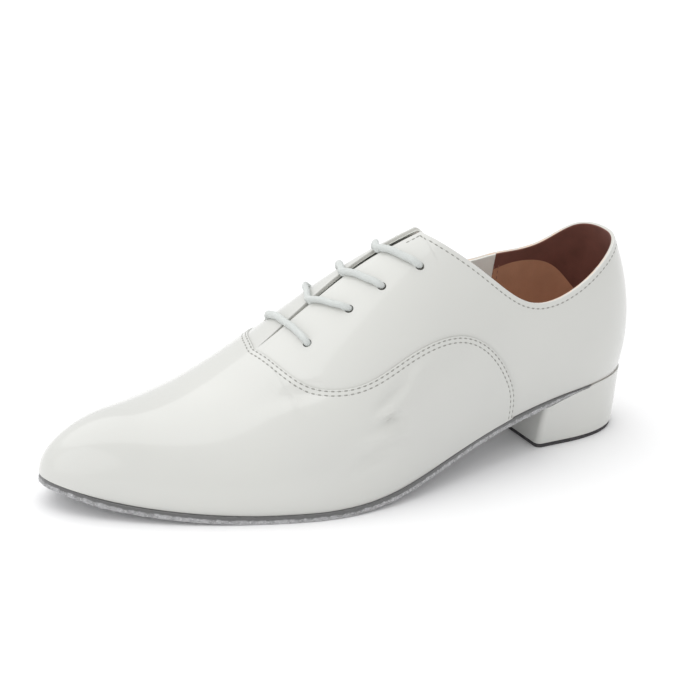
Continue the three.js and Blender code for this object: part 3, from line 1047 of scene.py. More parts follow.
@dataclass(frozen=True)
class SoleSuede:
    """Brushed suede of the outsole, with dark stains, pale flecks, and painted shade along the top
    of its edge under the upper.
    """

    name: str = "sole_suede"
    face: Triple = (0.40, 0.40, 0.41)
    # Dark suede colour: random stains, and the painted shade under the upper's overhang.
    stain_and_shade: Triple = (0.125, 0.125, 0.125)
    fleck: Triple = (0.72, 0.72, 0.72)
    wobble: float = 0.6

    def material(self) -> Material:
        """Builds the node tree.

        Returns:
            The material.
        """
        sheet = Sheet(self.name)
        sheet.set(Roughness=0.95, Specular_IOR_Level=0.12, Sheen_Weight=0.35, Sheen_Roughness=0.6)
        nap = sheet.noise(scale=1700.0, detail=6.0, rough=0.7)
        cloud = sheet.noise(scale=330.0, detail=4.0, rough=0.6)
        stain = sheet.between(cloud, low=0.4, high=0.62, to_low=0.0, to_high=0.6)
        mixed = sheet.mix(stain, self.face, self.stain_and_shade)
        fleck = sheet.between(nap, low=0.56, high=0.72, to_low=0.0, to_high=0.7)
        mixed = sheet.mix(fleck, mixed, self.fleck)
        # The top of the edge, under the upper's overhang, is painted dark with a wobbly border:
        # painted shade.
        level = sheet.attribute("edge_level")
        wobble = sheet.math("MULTIPLY", sheet.math("SUBTRACT", cloud, 0.5), self.wobble)
        level = sheet.math("ADD", level, wobble)
        mixed = sheet.mix(sheet.between(level, low=0.48, high=0.66), mixed, self.stain_and_shade)
        sheet.feed("Base Color", mixed)
        sheet.bump(nap, deep=0.25, strength=0.8)
        sheet.bump(sheet.noise(scale=420.0, detail=3.0), deep=0.3, strength=0.5)
        return sheet.material


@dataclass(frozen=True)
class TopPieceRubber:
    """The heel's top piece: dark, dull, with a scraped edge."""

    name: str = "top_piece_rubber"
    colour: Triple = (0.050, 0.047, 0.050)
    scraped: Triple = (0.13, 0.125, 0.13)

    def material(self) -> Material:
        """Builds the node tree.

        Returns:
            The material.
        """
        sheet = Sheet(self.name)
        sheet.set(Specular_IOR_Level=0.25)
        scrape = sheet.noise(scale=350.0, detail=6.0, rough=0.7)
        worn = sheet.between(scrape, low=0.5, high=0.75)
        sheet.feed("Base Color", sheet.mix(worn, self.colour, self.scraped))
        sheet.feed("Roughness", sheet.between(scrape, low=0.3, high=0.7, to_low=0.75, to_high=0.95))
        sheet.bump(scrape, deep=0.08, strength=0.6)
        return sheet.material


@dataclass(frozen=True)
class BraidedCotton:
    """The laces' close braid, slanting both ways round the cord, with painted shade in the braid's
    hollows.
    """

    name: str = "lace_braid"
    colour: Triple = (0.70, 0.725, 0.705)
    # Colour of the braid's hollows: painted shade.
    hollow: Triple = (0.52, 0.545, 0.535)
    pick: float = 0.55

    def material(self) -> Material:
        """Builds the node tree.

        Returns:
            The material.
        """
        sheet = Sheet(self.name)
        sheet.set(Roughness=0.78, Specular_IOR_Level=0.2, Sheen_Weight=0.3, Sheen_Roughness=0.4)
        uv = sheet.node("ShaderNodeUVMap", uv_map="cord_map").outputs["UV"]
        apart = sheet.node("ShaderNodeSeparateXYZ")
        sheet.join(uv, apart.inputs["Vector"])
        run, turn = apart.outputs["X"], apart.outputs["Y"]
        waves = []
        for operation in ("ADD", "SUBTRACT"):
            slant = sheet.math(operation, run, turn)
            phase = sheet.math("MULTIPLY", slant, math.pi / self.pick)
            waves.append(sheet.math("ABSOLUTE", sheet.math("SINE", phase)))
        weave = sheet.math("MULTIPLY", waves[0], waves[1])
        raised = sheet.between(weave, low=0.0, high=0.6)
        # The hollows between the yarns are painted darker: painted shade.
        sheet.feed("Base Color", sheet.mix(raised, self.hollow, self.colour))
        sheet.bump(raised, deep=0.10, strength=0.7)
        sheet.bump(sheet.noise(scale=2600.0), deep=0.04, strength=0.5)
        return sheet.material


@dataclass(frozen=True)
class Thread:
    """Sewing thread."""

    name: str
    colour: Triple
    dark: Triple

    def material(self) -> Material:
        """Builds the node tree.

        Returns:
            The material.
        """
        sheet = Sheet(self.name)
        sheet.set(Roughness=0.65, Specular_IOR_Level=0.3)
        twist = sheet.between(sheet.noise(scale=1900.0, detail=1.0), low=0.35, high=0.65)
        sheet.feed("Base Color", sheet.mix(twist, self.colour, self.dark))
        return sheet.material


# The upper's thread is whitish; its grey here is painted shade along the stitch rows.
SHADED_UPPER_THREAD = Thread("upper_thread_shaded", colour=(0.33, 0.33, 0.305), dark=(0.26, 0.26, 0.24))
# Small dark bars at the needle holes: painted shade of the holes.
NEEDLE_HOLE_SHADE = Thread("needle_hole_shade", colour=(0.32, 0.32, 0.30), dark=(0.38, 0.38, 0.36))
LINING_THREAD = Thread("lining_thread", colour=(0.40, 0.21, 0.16), dark=(0.30, 0.15, 0.11))
SUEDE_FIBRE = Thread("suede_fibre", colour=(0.72, 0.72, 0.72), dark=(0.50, 0.50, 0.51))
INSOLE_TAN = PlainLeather("insole_tan", colour=(0.255, 0.112, 0.065), deep=(0.215, 0.092, 0.054))


@dataclass(frozen=True)
class StudioFloor:
    """The pale floor."""

    name: str = "studio_floor"
    colour: Triple = (0.93, 0.93, 0.935)
    faint: float = 0.995

    def material(self) -> Material:
        """Builds the node tree.

        Returns:
            The material.
        """
        sheet = Sheet(self.name)
        sheet.set(Roughness=0.9, Specular_IOR_Level=0.0)
        cloud = sheet.between(sheet.noise(scale=2.0), low=0.0, high=1.0)
        sheet.feed("Base Color", sheet.mix(cloud, self.colour, scaled(self.colour, self.faint)))
        return sheet.material


# Geometry Nodes


BAR_SEGMENTS = 8
BAR_RINGS = 5


class StitchTree:
    """Geometry Nodes that lay one small rounded bar on each point, along "along" and up "out"."""

    def __init__(self, name: str) -> None:
        """Builds the tree with its named inputs.

        Args:
            name: Name of the tree.
        """
        self.tree = bpy.data.node_groups.new(name, "GeometryNodeTree")
        face = self.tree.interface
        self.sockets = {}
        for label, kind, flow in (
            ("Geometry", "NodeSocketGeometry", "INPUT"),
            ("Length", "NodeSocketFloat", "INPUT"),
            ("Width", "NodeSocketFloat", "INPUT"),
            ("Height", "NodeSocketFloat", "INPUT"),
            ("Finish", "NodeSocketMaterial", "INPUT"),
            ("Geometry", "NodeSocketGeometry", "OUTPUT"),
        ):
            made = face.new_socket(name=label, in_out=flow, socket_type=kind)
            if flow == "INPUT":
                self.sockets[label] = made.identifier
        nodes = self.tree.nodes
        join = self.tree.links.new
        source = nodes.new("NodeGroupInput")
        target = nodes.new("NodeGroupOutput")
        bar = nodes.new("GeometryNodeMeshUVSphere")
        bar.inputs["Segments"].default_value = BAR_SEGMENTS
        bar.inputs["Rings"].default_value = BAR_RINGS
        bar.inputs["Radius"].default_value = 0.5
        size = nodes.new("ShaderNodeCombineXYZ")
        for axis, label in zip("XYZ", ("Length", "Width", "Height")):
            join(source.outputs[label], size.inputs[axis])
        shaped = nodes.new("GeometryNodeTransform")
        join(bar.outputs["Mesh"], shaped.inputs["Geometry"])
        join(size.outputs["Vector"], shaped.inputs["Scale"])
        turned = nodes.new("FunctionNodeAxesToRotation")
        turned.primary_axis = "Z"
        turned.secondary_axis = "X"
        for label, socket in (("out", "Primary Axis"), ("along", "Secondary Axis")):
            vector = nodes.new("GeometryNodeInputNamedAttribute")
            vector.data_type = "FLOAT_VECTOR"
            vector.inputs["Name"].default_value = label
            join(vector.outputs["Attribute"], turned.inputs[socket])
        laid = nodes.new("GeometryNodeInstanceOnPoints")
        join(source.outputs["Geometry"], laid.inputs["Points"])
        join(shaped.outputs["Geometry"], laid.inputs["Instance"])
        join(turned.outputs["Rotation"], laid.inputs["Rotation"])
        real = nodes.new("GeometryNodeRealizeInstances")
        join(laid.outputs["Instances"], real.inputs["Geometry"])
        finish = nodes.new("GeometryNodeSetMaterial")
        join(real.outputs["Geometry"], finish.inputs["Geometry"])
        join(source.outputs["Finish"], finish.inputs["Material"])
        join(finish.outputs["Geometry"], target.inputs["Geometry"])

    def lay(self, name: str, marks: "Marks", size: Sequence[float], finish: Material) -> Piece:
        """Lays the bars and makes them one plain mesh.

        Args:
            name: Name of the piece.
            marks: Where the bars lie.
            size: Length, width and height of a bar, in millimetres.
            finish: Their material.

        Returns:
            The linked object.
        """
        points = make_object(name + "_points", marks.places, [])
        for label, values in (("along", marks.along), ("out", marks.out)):
            attribute = points.data.attributes.new(label, "FLOAT_VECTOR", "POINT")
            attribute.data.foreach_set("vector", np.asarray(values, np.float32).ravel())
        modifier = points.modifiers.new(name, "NODES")
        modifier.node_group = self.tree
        for label, value in zip(("Length", "Width", "Height"), size):
            modifier[self.sockets[label]] = float(value * MM)
        modifier[self.sockets["Finish"]] = finish
        graph = bpy.context.evaluated_depsgraph_get()
        mesh = bpy.data.meshes.new_from_object(points.evaluated_get(graph))
        mesh.name = name
        bpy.data.objects.remove(points)
        mesh.shade_smooth()
        return link_new(name, mesh)


@dataclass
class Marks:
    """Places with a direction along the row and one out of the surface."""

    places: Array
    along: Array
    out: Array

    @staticmethod
    def joined(several: Sequence["Marks"]) -> "Marks":
        """One list of marks from several.

        Args:
            several: The lists.

        Returns:
            All their marks.
        """
        return Marks(
            np.concatenate([marks.places for marks in several]),
            np.concatenate([marks.along for marks in several]),
            np.concatenate([marks.out for marks in several]),
        )


class Skin:
    """The finished surface of a piece, on which stitches are laid."""

    def __init__(self, made: Piece) -> None:
        """Reads the mesh into a search tree."""
        graph = bpy.context.evaluated_depsgraph_get()
        self.tree = BVHTree.FromObject(made, graph)

    def row(self, line: Array, pitch: float, sink: float = 0.0, phase: float = 0.5) -> Marks:
        """Lays marks evenly along a line near the surface.

        Args:
            line: Points of the line, in millimetres.
            pitch: Distance between marks.
            sink: How deep they lie under the surface.
            phase: Where in each step a mark lies, from 0 to 1.

        Returns:
            The marks, on the surface.
        """
        even = resample(line, pitch)
        middles = even[:-1] + (even[1:] - even[:-1]) * phase
        along = even[1:] - even[:-1]
        along /= np.maximum(np.linalg.norm(along, axis=1, keepdims=True), TINY)
        places = []
        out = []
        for middle in middles:
            hit, normal, _, _ = self.tree.find_nearest(Vector(middle * MM))
            places.append(np.array(hit) / MM - np.array(normal) * sink)
            out.append(np.array(normal))
        return Marks(np.array(places), along, np.array(out))


# The upper


@dataclass(frozen=True)
class Crease:
    """A soft fold in the upper."""

    at: float
    up: float
    lean: float
    long: float
    wide: float
    deep: float
    side: Side = Side.LATERAL


CREASES = (
    Crease(at=0.512, up=0.340, lean=6.0, long=22.0, wide=6.0, deep=-1.40),
    Crease(at=0.524, up=0.292, lean=-4.0, long=17.0, wide=4.8, deep=1.31),
    Crease(at=0.519, up=0.258, lean=-12.0, long=15.0, wide=4.5, deep=-1.31),
    Crease(at=0.536, up=0.208, lean=-14.0, long=26.0, wide=7.0, deep=1.59),
    Crease(at=0.566, up=0.160, lean=8.0, long=22.0, wide=7.0, deep=-0.88),
    Crease(at=0.470, up=0.345, lean=18.0, long=20.0, wide=6.0, deep=0.88),
    Crease(at=0.630, up=0.560, lean=-30.0, long=24.0, wide=9.0, deep=-0.79),
    Crease(at=0.665, up=0.620, lean=-20.0, long=30.0, wide=11.0, deep=-0.61),
    Crease(at=0.520, up=0.300, lean=6.0, long=24.0, wide=6.5, deep=-1.14, side=Side.MEDIAL),
    Crease(at=0.560, up=0.260, lean=-4.0, long=24.0, wide=6.5, deep=-1.05, side=Side.MEDIAL),
)
CREASE_STEP = 0.01
CREASE_BOW = 0.35
CREASE_SHOULDER = 0.8
CREASE_WIDTH = 0.9
CREASE_FADE = 1.6


@dataclass
class Columns:
    """Columns of the upper's grid on one side, heel to toe."""

    side: Side
    share: Array
    seam: Array
    top: Array

    def closed(self, slot_end: float) -> Array:
        """Tells which columns end on the ridge, in front of the slot."""
        return self.share >= slot_end - TINY


@dataclass
class Upper:
    """The hollow oxford upper, its eyelets, seams and stitches."""

    last: ShoeLast
    wall: float = 2.0
    lap: float = 0.7
    lap_round: float = 0.35
    rim_outer: float = 0.55
    rim_inner: float = 0.45
    slot_width: float = 6.0
    slot_end: float = 0.654
    slot_taper: float = 0.8
    slot_start: float = 0.40
    toe_tip: float = 0.99995
    eyelet: float = 4.0
    eyelet_spread: float = 17.7
    corner_softness: float = 0.030
    past_collar: float = 2.0
    slant_reach: float = 0.08
    seam_rows: tuple[float, float] = (0.9, 2.8)
    edge_row: float = 2.6
    row_end: float = 0.425
    groove: float = 0.05
    groove_width: float = 0.42
    under_step: float = 0.10
    under_reach: float = 1.2
    stitch_pitch: float = 2.9
    stitch_sink: float = 0.02
    stitch_size: Triple = (1.95, 0.72, 0.32)
    hole_size: Triple = (0.40, 0.40, 0.12)
    least_step: float = 0.5
    lining_rows: tuple[float, float] = (-0.0015, -0.010)
    lining_gap: float = 0.05
    lining_foot: float = 0.12
    lining_depth: float = 0.3
    lining_pitch: float = 3.0
    lining_sink: float = 0.03
    lining_size: Triple = (2.2, 0.5, 0.32)
    line_points: int = 60
    fine_steps: int = 1201
    profile_steps: int = 61
    heel_columns: int = 40
    heel_column_up: float = 0.35
    seam_columns: int = 112
    corner_shares: tuple[float, float] = (0.35, 0.40)
    slot_columns: int = 5
    slot_column_gap: float = 0.0008
    toe_columns: int = 74
    toe_column_up: float = 0.25
    toe_near: tuple[float, ...] = (0.002, 0.004, 0.006, 0.009, 0.012, 0.016, 0.020)
    toe_column_gap: float = 0.002
    column_gather: int = 3
    slant_step: float = 1e-3
    least_slant: float = 0.14
    weld: float = 0.012
    eyelet_sides: int = 28
    punch_reach: float = 4
    vamp_bands: tuple[float, ...] = (
        0, 0.03, 0.09, 0.18, 0.28, 0.36, 0.6, 0.9, 1.2, 1.7, 2.3, 2.8, 3.3, 4, 5.3, 7, 9,
    )
    vamp_rows: int = 46
    quarter_bands: tuple[float, ...] = (0, 0.12, 0.4, 0.9, 1.8, 3.2, 5)
    edge_bands: tuple[float, ...] = (
        0, 0.04, 0.12, 0.24, 0.38, 0.56, 0.9, 1.5, 2.1, 2.4, 2.6, 2.8, 3.1, 3.8, 5, 7,
    )
    quarter_rows: int = 52
    inner_bands: tuple[float, ...] = (0, 0.05, 0.15, 0.3, 0.46, 0.9, 2, 4)
    inner_rows: int = 30
    rim_rows: int = 3
    tan_top: tuple[tuple[float, float], ...] = (
        (0.000, 0.100), (0.040, 0.215), (0.062, 0.275), (0.084, 0.310), (0.115, 0.328),
        (0.150, 0.330), (0.184, 0.315), (0.300, 0.260),
    )

    def __post_init__(self) -> None:
        """Makes the seam curves."""
        self.seam_share = {}
        self.seam_up = {}
        for side in Side:
            rows = SEAM[side]
            place = np.linspace(0, 1, len(rows))
            self.seam_share[side] = NaturalCurve(place, column(rows, SEAM_COLUMNS, "at"))
            self.seam_up[side] = NaturalCurve(place, column(rows, SEAM_COLUMNS, "up"))
        self.seam_foot = {side: SEAM[side][0][0] for side in Side}
        self.seam_end = SEAM[Side.LATERAL][-1][0]

    # Edges

    def slot_half_gap(self, share: Array) -> Array:
        """Half the width of the slot between the facings."""
        open_share = (self.slot_end - share) / (self.slot_end - self.slot_start)
        return self.slot_width / 2 * np.clip(open_share, 0, 1) ** self.slot_taper

    def top_up(self, share: Array, side: Side) -> Array:
        """Where the upper ends at the collar or the slot, with a softened corner between them.

        Args:
            share: Shares of the length.
            side: Side of the foot.

        Returns:
            The share of the profile at the edge.
        """
        facing = self.last.up_at_distance(share, self.slot_half_gap(share), side)
        height = self.last.collar_height * self.last.collar[side](np.minimum(share, COLLAR[-1][0]))
        collar = self.last.up_at_height(share, height, side)
        collar = np.where(share > COLLAR[-1][0], self.past_collar, collar)
        soft = self.corner_softness
        lower = np.minimum(facing, collar)
        blended = lower - soft * np.log1p(np.exp(-np.abs(facing - collar) / soft))
        return np.where(share >= self.slot_end - TINY, 1.0, blended)

    def columns(self, side: Side) -> Columns:
        """Places the grid's columns, closer where the seam, the corner and the ends need it.

        Args:
            side: Side of the foot.

        Returns:
            The columns, heel to toe.
        """
        foot = self.seam_foot[side]
        seam_share, seam_up = self.seam_share[side], self.seam_up[side]
        fine = np.linspace(0, 1, self.fine_steps)
        heel_share = foot * fine ** self.column_gather
        heel_line = self.last.point(heel_share, self.heel_column_up, side)
        heel = self._spaced(heel_share, lengths(heel_line), self.heel_columns)[:-1]
        seam_line = self.last.point(seam_share(fine), np.clip(seam_up(fine), 0, 1), side)
        steps = self._spaced(fine, lengths(seam_line), self.seam_columns)
        share = seam_share(steps)
        corner = (share > self.corner_shares[0]) & (share < self.corner_shares[1])
        extra = (steps[:-1] + steps[1:])[corner[:-1]] / 2
        before_end = steps[share < self.slot_end - self.slot_column_gap]
        slot_step = bisect(np.zeros(1), np.ones(1), lambda step: seam_share(step) < self.slot_end)
        after_end = np.linspace(slot_step[0], 1, self.slot_columns)
        steps = np.sort(np.concatenate([before_end, extra, after_end]))
        share = seam_share(steps)
        up = np.clip(seam_up(steps), 0, 1)
        tip = 1 - (1 - fine) ** self.column_gather
        toe_share = self.seam_end + (self.toe_tip - self.seam_end) * tip
        toe_line = self.last.point(toe_share, self.toe_column_up, side)
        near = self.seam_end + np.array(self.toe_near)
        toe = self._spaced(toe_share, lengths(toe_line), self.toe_columns)[1:]
        toe = np.sort(np.concatenate([near, toe[toe > near[-1] + self.toe_column_gap]]))
        shares = np.concatenate([heel, share, toe])
        seam = np.concatenate([np.zeros(len(heel)), up, np.ones(len(toe))])
        seam[len(heel) + len(share) - 1] = 1.0
        top = self.top_up(shares, side)
        return Columns(side, shares, np.minimum(seam, top), top)

    @staticmethod
    def _spaced(values: Array, run: Array, count: int) -> Array:
        """Values at even steps of a running length."""
        return np.interp(np.linspace(0, run[-1], count + 1), run, values)

    # Rows

    def _fit(self, bands: Sequence[float], count: int, run: Array, slant: Array) -> Array:
        """Distances of rows from an edge: close bands near it, even steps beyond.

        Args:
            bands: Distances square to the edge.
            count: Number of steps in all.
            run: Length that each column has for them.
            slant: Sine of the angle at which each column meets the edge.

        Returns:
            One line of rising distances for each column.
        """
        near = np.asarray(bands)[None, :] / slant[:, None]
        rest = np.linspace(0, 1, count - len(bands) + 2)[1:]
        far = near[:, -1:] + (run[:, None] - near[:, -1:]) * rest[None, :]
        wanted = np.concatenate([near, far], axis=1)
        even = run[:, None] * np.linspace(0, 1, count + 1)[None, :]
        return np.minimum(wanted, even)

    def _profile_run(self, columns: Columns, low: Array, high: Array) -> tuple[Array, Array]:
        """Shares of the profile on each column with the length up to them.

        Args:
            columns: Columns of one side.
            low: Where the profiles start.
            high: Where they end.

        Returns:
            The shares and the lengths, one line for each column.
        """
        fine = np.linspace(0, 1, self.profile_steps)[None, :]
        ups = low[:, None] + (high - low)[:, None] * fine
        points = self.last.point(columns.share[:, None], ups, columns.side)
        return ups, lengths(points)

    def _slant(self, columns: Columns, up: Array) -> Array:
        """Sine of the angle between a line across the columns and the columns.

        Args:
            columns: Columns of one side.
            up: Where the line crosses each column.

        Returns:
            The sines, one for each column.
        """
        line = self.last.point(columns.share, up, columns.side)
        way = tangents(line)
        step = self.slant_step
        high = np.minimum(1, up + step)
        climb = self.last.point(columns.share, high, columns.side)
        climb = climb - self.last.point(columns.share, high - 2 * step, columns.side)
        climb /= np.maximum(np.linalg.norm(climb, axis=1, keepdims=True), TINY)
        sine = np.linalg.norm(np.cross(way, climb), axis=1)
        return np.clip(sine, self.least_slant, 1)

    def _eased_slant(self, columns: Columns, slant: Array) -> Array:
        """The seam's slant, brought back to square over a short way past its ends.

        Args:
            columns: Columns of one side.
            slant: The seam's slant.

        Returns:
            The eased slant.
        """
        share = columns.share
        first, last = np.flatnonzero((columns.seam > 0) & (share < self.seam_end - TINY))[[0, -1]]
        past = np.clip((share - share[last]) / self.slant_reach, 0, 1)
        before = np.clip((share[first] - share) / self.slant_reach, 0, 1)
        slant = np.where(past > 0, slant[last] + (1 - slant[last]) * past, slant)
        return np.where(before > 0, slant[first] + (1 - slant[first]) * before, slant)

    def _rows(self, columns: Columns) -> dict[str, Array]:
        """Places the rows of the grid on every column.

        Args:
            columns: Columns of one side.

        Returns:
            Shares of the profile for the vamp's, the quarter's and the inner rows.
        """
        zero = np.zeros_like(columns.seam)
        ups, run = self._profile_run(columns, zero, columns.seam)
        slant = self._eased_slant(columns, self._slant(columns, columns.seam))
        down = self._fit(self.vamp_bands, self.vamp_rows, run[:, -1], slant)
        vamp = self._read(run[:, -1:] - down[:, ::-1], run, ups)
        ups, run = self._profile_run(columns, columns.seam, columns.top)
        half = run[:, -1] / 2
        low = self._fit(self.quarter_bands, self.quarter_rows // 2, half, slant)
        edge = self._slant(columns, columns.top)
        edge = np.where(columns.closed(self.slot_end), 1.0, edge)
        rim = self._fit(self.edge_bands, self.quarter_rows // 2, half, edge)
        high = run[:, -1:] - rim[:, ::-1]
        quarter = self._read(np.concatenate([low, high[:, 1:]], axis=1), run, ups)
        ups, run = self._profile_run(columns, zero, columns.top)
        inner = self._fit(self.inner_bands, self.inner_rows, run[:, -1], edge)
        inner = self._read(run[:, -1:] - inner, run, ups)
        return {"vamp": vamp, "quarter": quarter, "inner": inner}

    @staticmethod
    def _read(wanted: Array, run: Array, ups: Array) -> Array:
        """Shares of the profile at wanted lengths along each column."""
        return np.stack([np.interp(wanted[i], run[i], ups[i]) for i in range(len(run))])

    # Lines

    def seam_line(self, side: Side, count: int = 260) -> tuple[Array, Array, Array]:
        """The seam's edge on one side, as shares, ups and points.

        Args:
            side: Side of the foot.
            count: Number of points.

        Returns:
            Shares, ups and points.
        """
        step = np.linspace(0, 1, count)
        share = self.seam_share[side](step)
        up = np.clip(self.seam_up[side](step), 0, 1)
        return share, up, self.last.point(share, up, side)

    def edge_line(self, side: Side, columns: Columns) -> tuple[Array, Array, Array]:
        """The upper's top edge on one side, from the back of the collar to the end of the slot.

        Args:
            side: Side of the foot.
            columns: Columns of one side.

        Returns:
            Shares, ups and points.
        """
        is_open = columns.share <= self.slot_end + TINY
        share = columns.share[is_open]
        up = columns.top[is_open]
        return share, up, self.last.point(share, up, side)

    # Relief

    def _creases(self, base: Array, side: Side) -> Array:
        """Height that the creases add at each point of one side.

        Args:
            base: Points on the last.
            side: Side of the foot.

        Returns:
            The heights, in millimetres.
        """
        height = np.zeros(len(base))
        for crease in CREASES:
            if crease.side is not side:
                continue
            middle = self.last.point(crease.at, crease.up, side)
            forward = self.last.point(crease.at + CREASE_STEP, crease.up, side) - middle
            climb = self.last.point(crease.at, crease.up + CREASE_STEP, side) - middle
            forward /= np.linalg.norm(forward)
            climb -= forward * (climb @ forward)
            climb /= np.linalg.norm(climb)
            lean = math.radians(crease.lean)
            way = -forward * math.cos(lean) + climb * math.sin(lean)
            square = forward * math.sin(lean) + climb * math.cos(lean)
            offset = base - middle
            bow = offset @ way / (crease.long / 2)
            across = offset @ square / (crease.wide / 2) + CREASE_BOW * bow ** 2
            ridge = (1 - CREASE_SHOULDER * across ** 2) * np.exp(-CREASE_WIDTH * across ** 2)
            near = np.linalg.norm(offset, axis=1) < crease.long
            fade = np.exp(-CREASE_FADE * bow ** 2)
            height += np.where(near, crease.deep * ridge * fade, 0)
        return height

    def _outer_offset(self, seam: Array, edge: Array, lapped: Array) -> Array:
        """How far the outer face stands off the last.

        Args:
            seam: Distance from the seam.
            edge: Distance from the top edge.
            lapped: Whether the point is on the vamp.

        Returns:
            The offsets, in millimetres.
        """
        corner = np.clip(1 - seam / self.lap_round, 0, 1)
        over_edge = -self.lap_round * (1 - np.sqrt(1 - corner ** 2))
        for row in self.seam_rows:
            over_edge -= self.groove * np.exp(-(((seam - row) / self.groove_width) ** 2))
        under = -self.lap - self.under_step * np.exp(-seam / self.under_reach)
        height = np.where(lapped, over_edge, under)
        corner = np.clip(1 - edge / self.rim_outer, 0, 1)
        height -= self.rim_outer * (1 - np.sqrt(1 - corner ** 2))
        height -= self.groove * np.exp(-(((edge - self.edge_row) / self.groove_width) ** 2))
        return height

    # The mesh

    def build(self) -> Piece:
        """Builds the shell with its lapped seam, rounded rim, creases and eyelet holes.

        Returns:
            The upper, with the attributes that its finishes read.
        """
        grids = {side: self.columns(side) for side in Side}
        self.grids = grids
        seams = {side: self.seam_line(side)[2] for side in Side}
        seam_all = np.concatenate([seams[Side.LATERAL], seams[Side.MEDIAL][::-1]])
        edges = {side: self.edge_line(side, grids[side])[2] for side in Side}
        edge_all = np.concatenate([edges[Side.LATERAL][::-1], edges[Side.MEDIAL]])
        blocks = []
        notes = []
        for side in Side:
            block, note = self._side_block(grids[side], seam_all, edge_all)
            blocks.append(block)
            notes.append(note)
        points = np.concatenate([blocks[0], blocks[1][1:][::-1]])
        notes = [np.concatenate([a, b[1:][::-1]]) for a, b in zip(*notes)]
        shut = {side: grids[side].closed(self.slot_end) for side in Side}
        closed = np.concatenate([shut[Side.LATERAL], shut[Side.MEDIAL][1:][::-1]])
        made = self._shell(points, closed)
        self._dress_shell(made, points.reshape(-1, 3), [note.ravel() for note in notes])
        return made

    def _side_block(
        self, columns: Columns, seam_all: Array, edge_all: Array
    ) -> tuple[Array, list[Array]]:
        """Points of one side's rings, with the numbers that the finishes read.

        Args:
            columns: Columns of one side.
            seam_all: Points of the whole seam.
            edge_all: Points of the whole top edge.

        Returns:
            The rings, and the numbers in the order in which they are stored.
        """
        last, side = self.last, columns.side
        rows = self._rows(columns)
        share = columns.share
        outer_up = np.concatenate([rows["vamp"], rows["quarter"]], axis=1)
        count = len(share)
        shares = np.repeat(share[:, None], outer_up.shape[1], axis=1)
        base = last.point(shares, outer_up, side)
        out = last.normal(shares, outer_up, side)
        flat = base.reshape(-1, 3)
        seam = distance_to_line(flat, seam_all).reshape(shares.shape)
        edge = distance_to_line(flat, edge_all).reshape(shares.shape)
        lapped = np.zeros(shares.shape, bool)
        lapped[:, :rows["vamp"].shape[1]] = True
        lapped[share < self.seam_foot[side] - TINY] = False
        lapped[share > self.seam_end - TINY] = True
        offset = self._outer_offset(seam, edge, lapped)
        offset += self._creases(flat, side).reshape(shares.shape)
        outer = base + out * offset[..., None]
        outer[:, 0, 2] = base[:, 0, 2]
        standing = ~lapped & (outer_up < TINY)
        outer[standing, 2] = base[standing, 2]
        top = base[:, -1]
        top_out = out[:, -1]
        rim_start = -self.lap - self.rim_outer
        rim_end = -self.lap - self.wall + self.rim_inner
        levels = np.linspace(rim_start, rim_end, self.rim_rows + 2)[1:-1]
        rim = top[:, None, :] + top_out[:, None, :] * levels[None, :, None]
        inner_up = rows["inner"]
        inner_shares = np.repeat(share[:, None], inner_up.shape[1], axis=1)
        inner_base = last.point(inner_shares, inner_up, side)
        inner_out = last.normal(inner_shares, inner_up, side)
        inner_edge = distance_to_line(inner_base.reshape(-1, 3), edge_all).reshape(inner_up.shape)
        corner = np.clip(1 - inner_edge / self.rim_inner, 0, 1)
        inner_offset = -self.lap - self.wall + self.rim_inner * (1 - np.sqrt(1 - corner ** 2))
        inner = inner_base + inner_out * inner_offset[..., None]
        inner[:, -1, 2] = inner_base[:, -1, 2]
        ring = np.concatenate([outer, rim, inner], axis=1)
        signed = np.where(lapped, seam, -seam)
        pad = np.full((count, self.rim_rows), FAR)
        far = np.full(inner_up.shape, FAR)
        seam_note = np.concatenate([signed, pad, far], axis=1)
        edge_note = np.concatenate([edge, pad * 0, inner_edge], axis=1)
        share_note = np.repeat(share[:, None], ring.shape[1], axis=1)
        tan = NaturalCurve(*zip(*self.tan_top))
        tan_up = np.clip(tan(np.minimum(inner_shares, self.tan_top[-1][0])), 0, 1)
        tan_height = last.point(inner_shares, tan_up, side)[..., 2]
        below = tan_height - inner[..., 2]
        outside = np.zeros((count, ring.shape[1] - inner_up.shape[1]))
        tan_note = np.concatenate([outside, below], axis=1)
        self.rim_from = outer.shape[1] - 1
        self.rim_to = outer.shape[1] + self.rim_rows
        return ring, [seam_note, edge_note, share_note, tan_note]

    def _shell(self, points: Array, closed: Array) -> Piece:
        """Joins the rings into the shell, open along the collar and the slot.

        Args:
            points: The rings' points.
            closed: Whether each ring is closed on the ridge.

        Returns:
            The shell.
        """
        count, size = points.shape[:2]
        faces = []
        kinds = []
        for i in range(count):
            after = (i + 1) % count
            shut = closed[i] and closed[after]
            for j in range(size):
                on_rim = self.rim_from <= j < self.rim_to
                if shut and on_rim:
                    continue
                k = (j + 1) % size
                faces.append((i * size + j, after * size + j, after * size + k, i * size + k))
                kinds.append(1 if on_rim else 0 if j < self.rim_from else 2)
        made = make_object("upper_shell", points.reshape(-1, 3), faces)
        made.data.polygons.foreach_set("material_index", np.array(kinds, np.int32))
        return made

    def _dress_shell(self, made: Piece, places: Array, notes: Sequence[Array]) -> None:
        """Merges the shell, cuts the eyelets, and stores what the finishes read.

        Args:
            made: The shell.
            places: Its points before the merge.
            notes: Numbers for those points.
        """
        for finish in (PatentWhite(), CutEdge(), QuarterLining()):
            made.data.materials.append(finish.material())
        tidy_mesh(made, merge=self.weld)
        self._cut_eyelets(made)
        search = KDTree(len(places))
        for number, place in enumerate(places):
            search.insert(place, number)
        search.balance()
        nearest = [search.find(place)[1] for place in read_points(made)]
        for label, values in zip(("seam", "edge", "share", "tan_edge"), notes):
            set_float(made, label, np.clip(values[nearest], -FAR, FAR))
        shade(made)

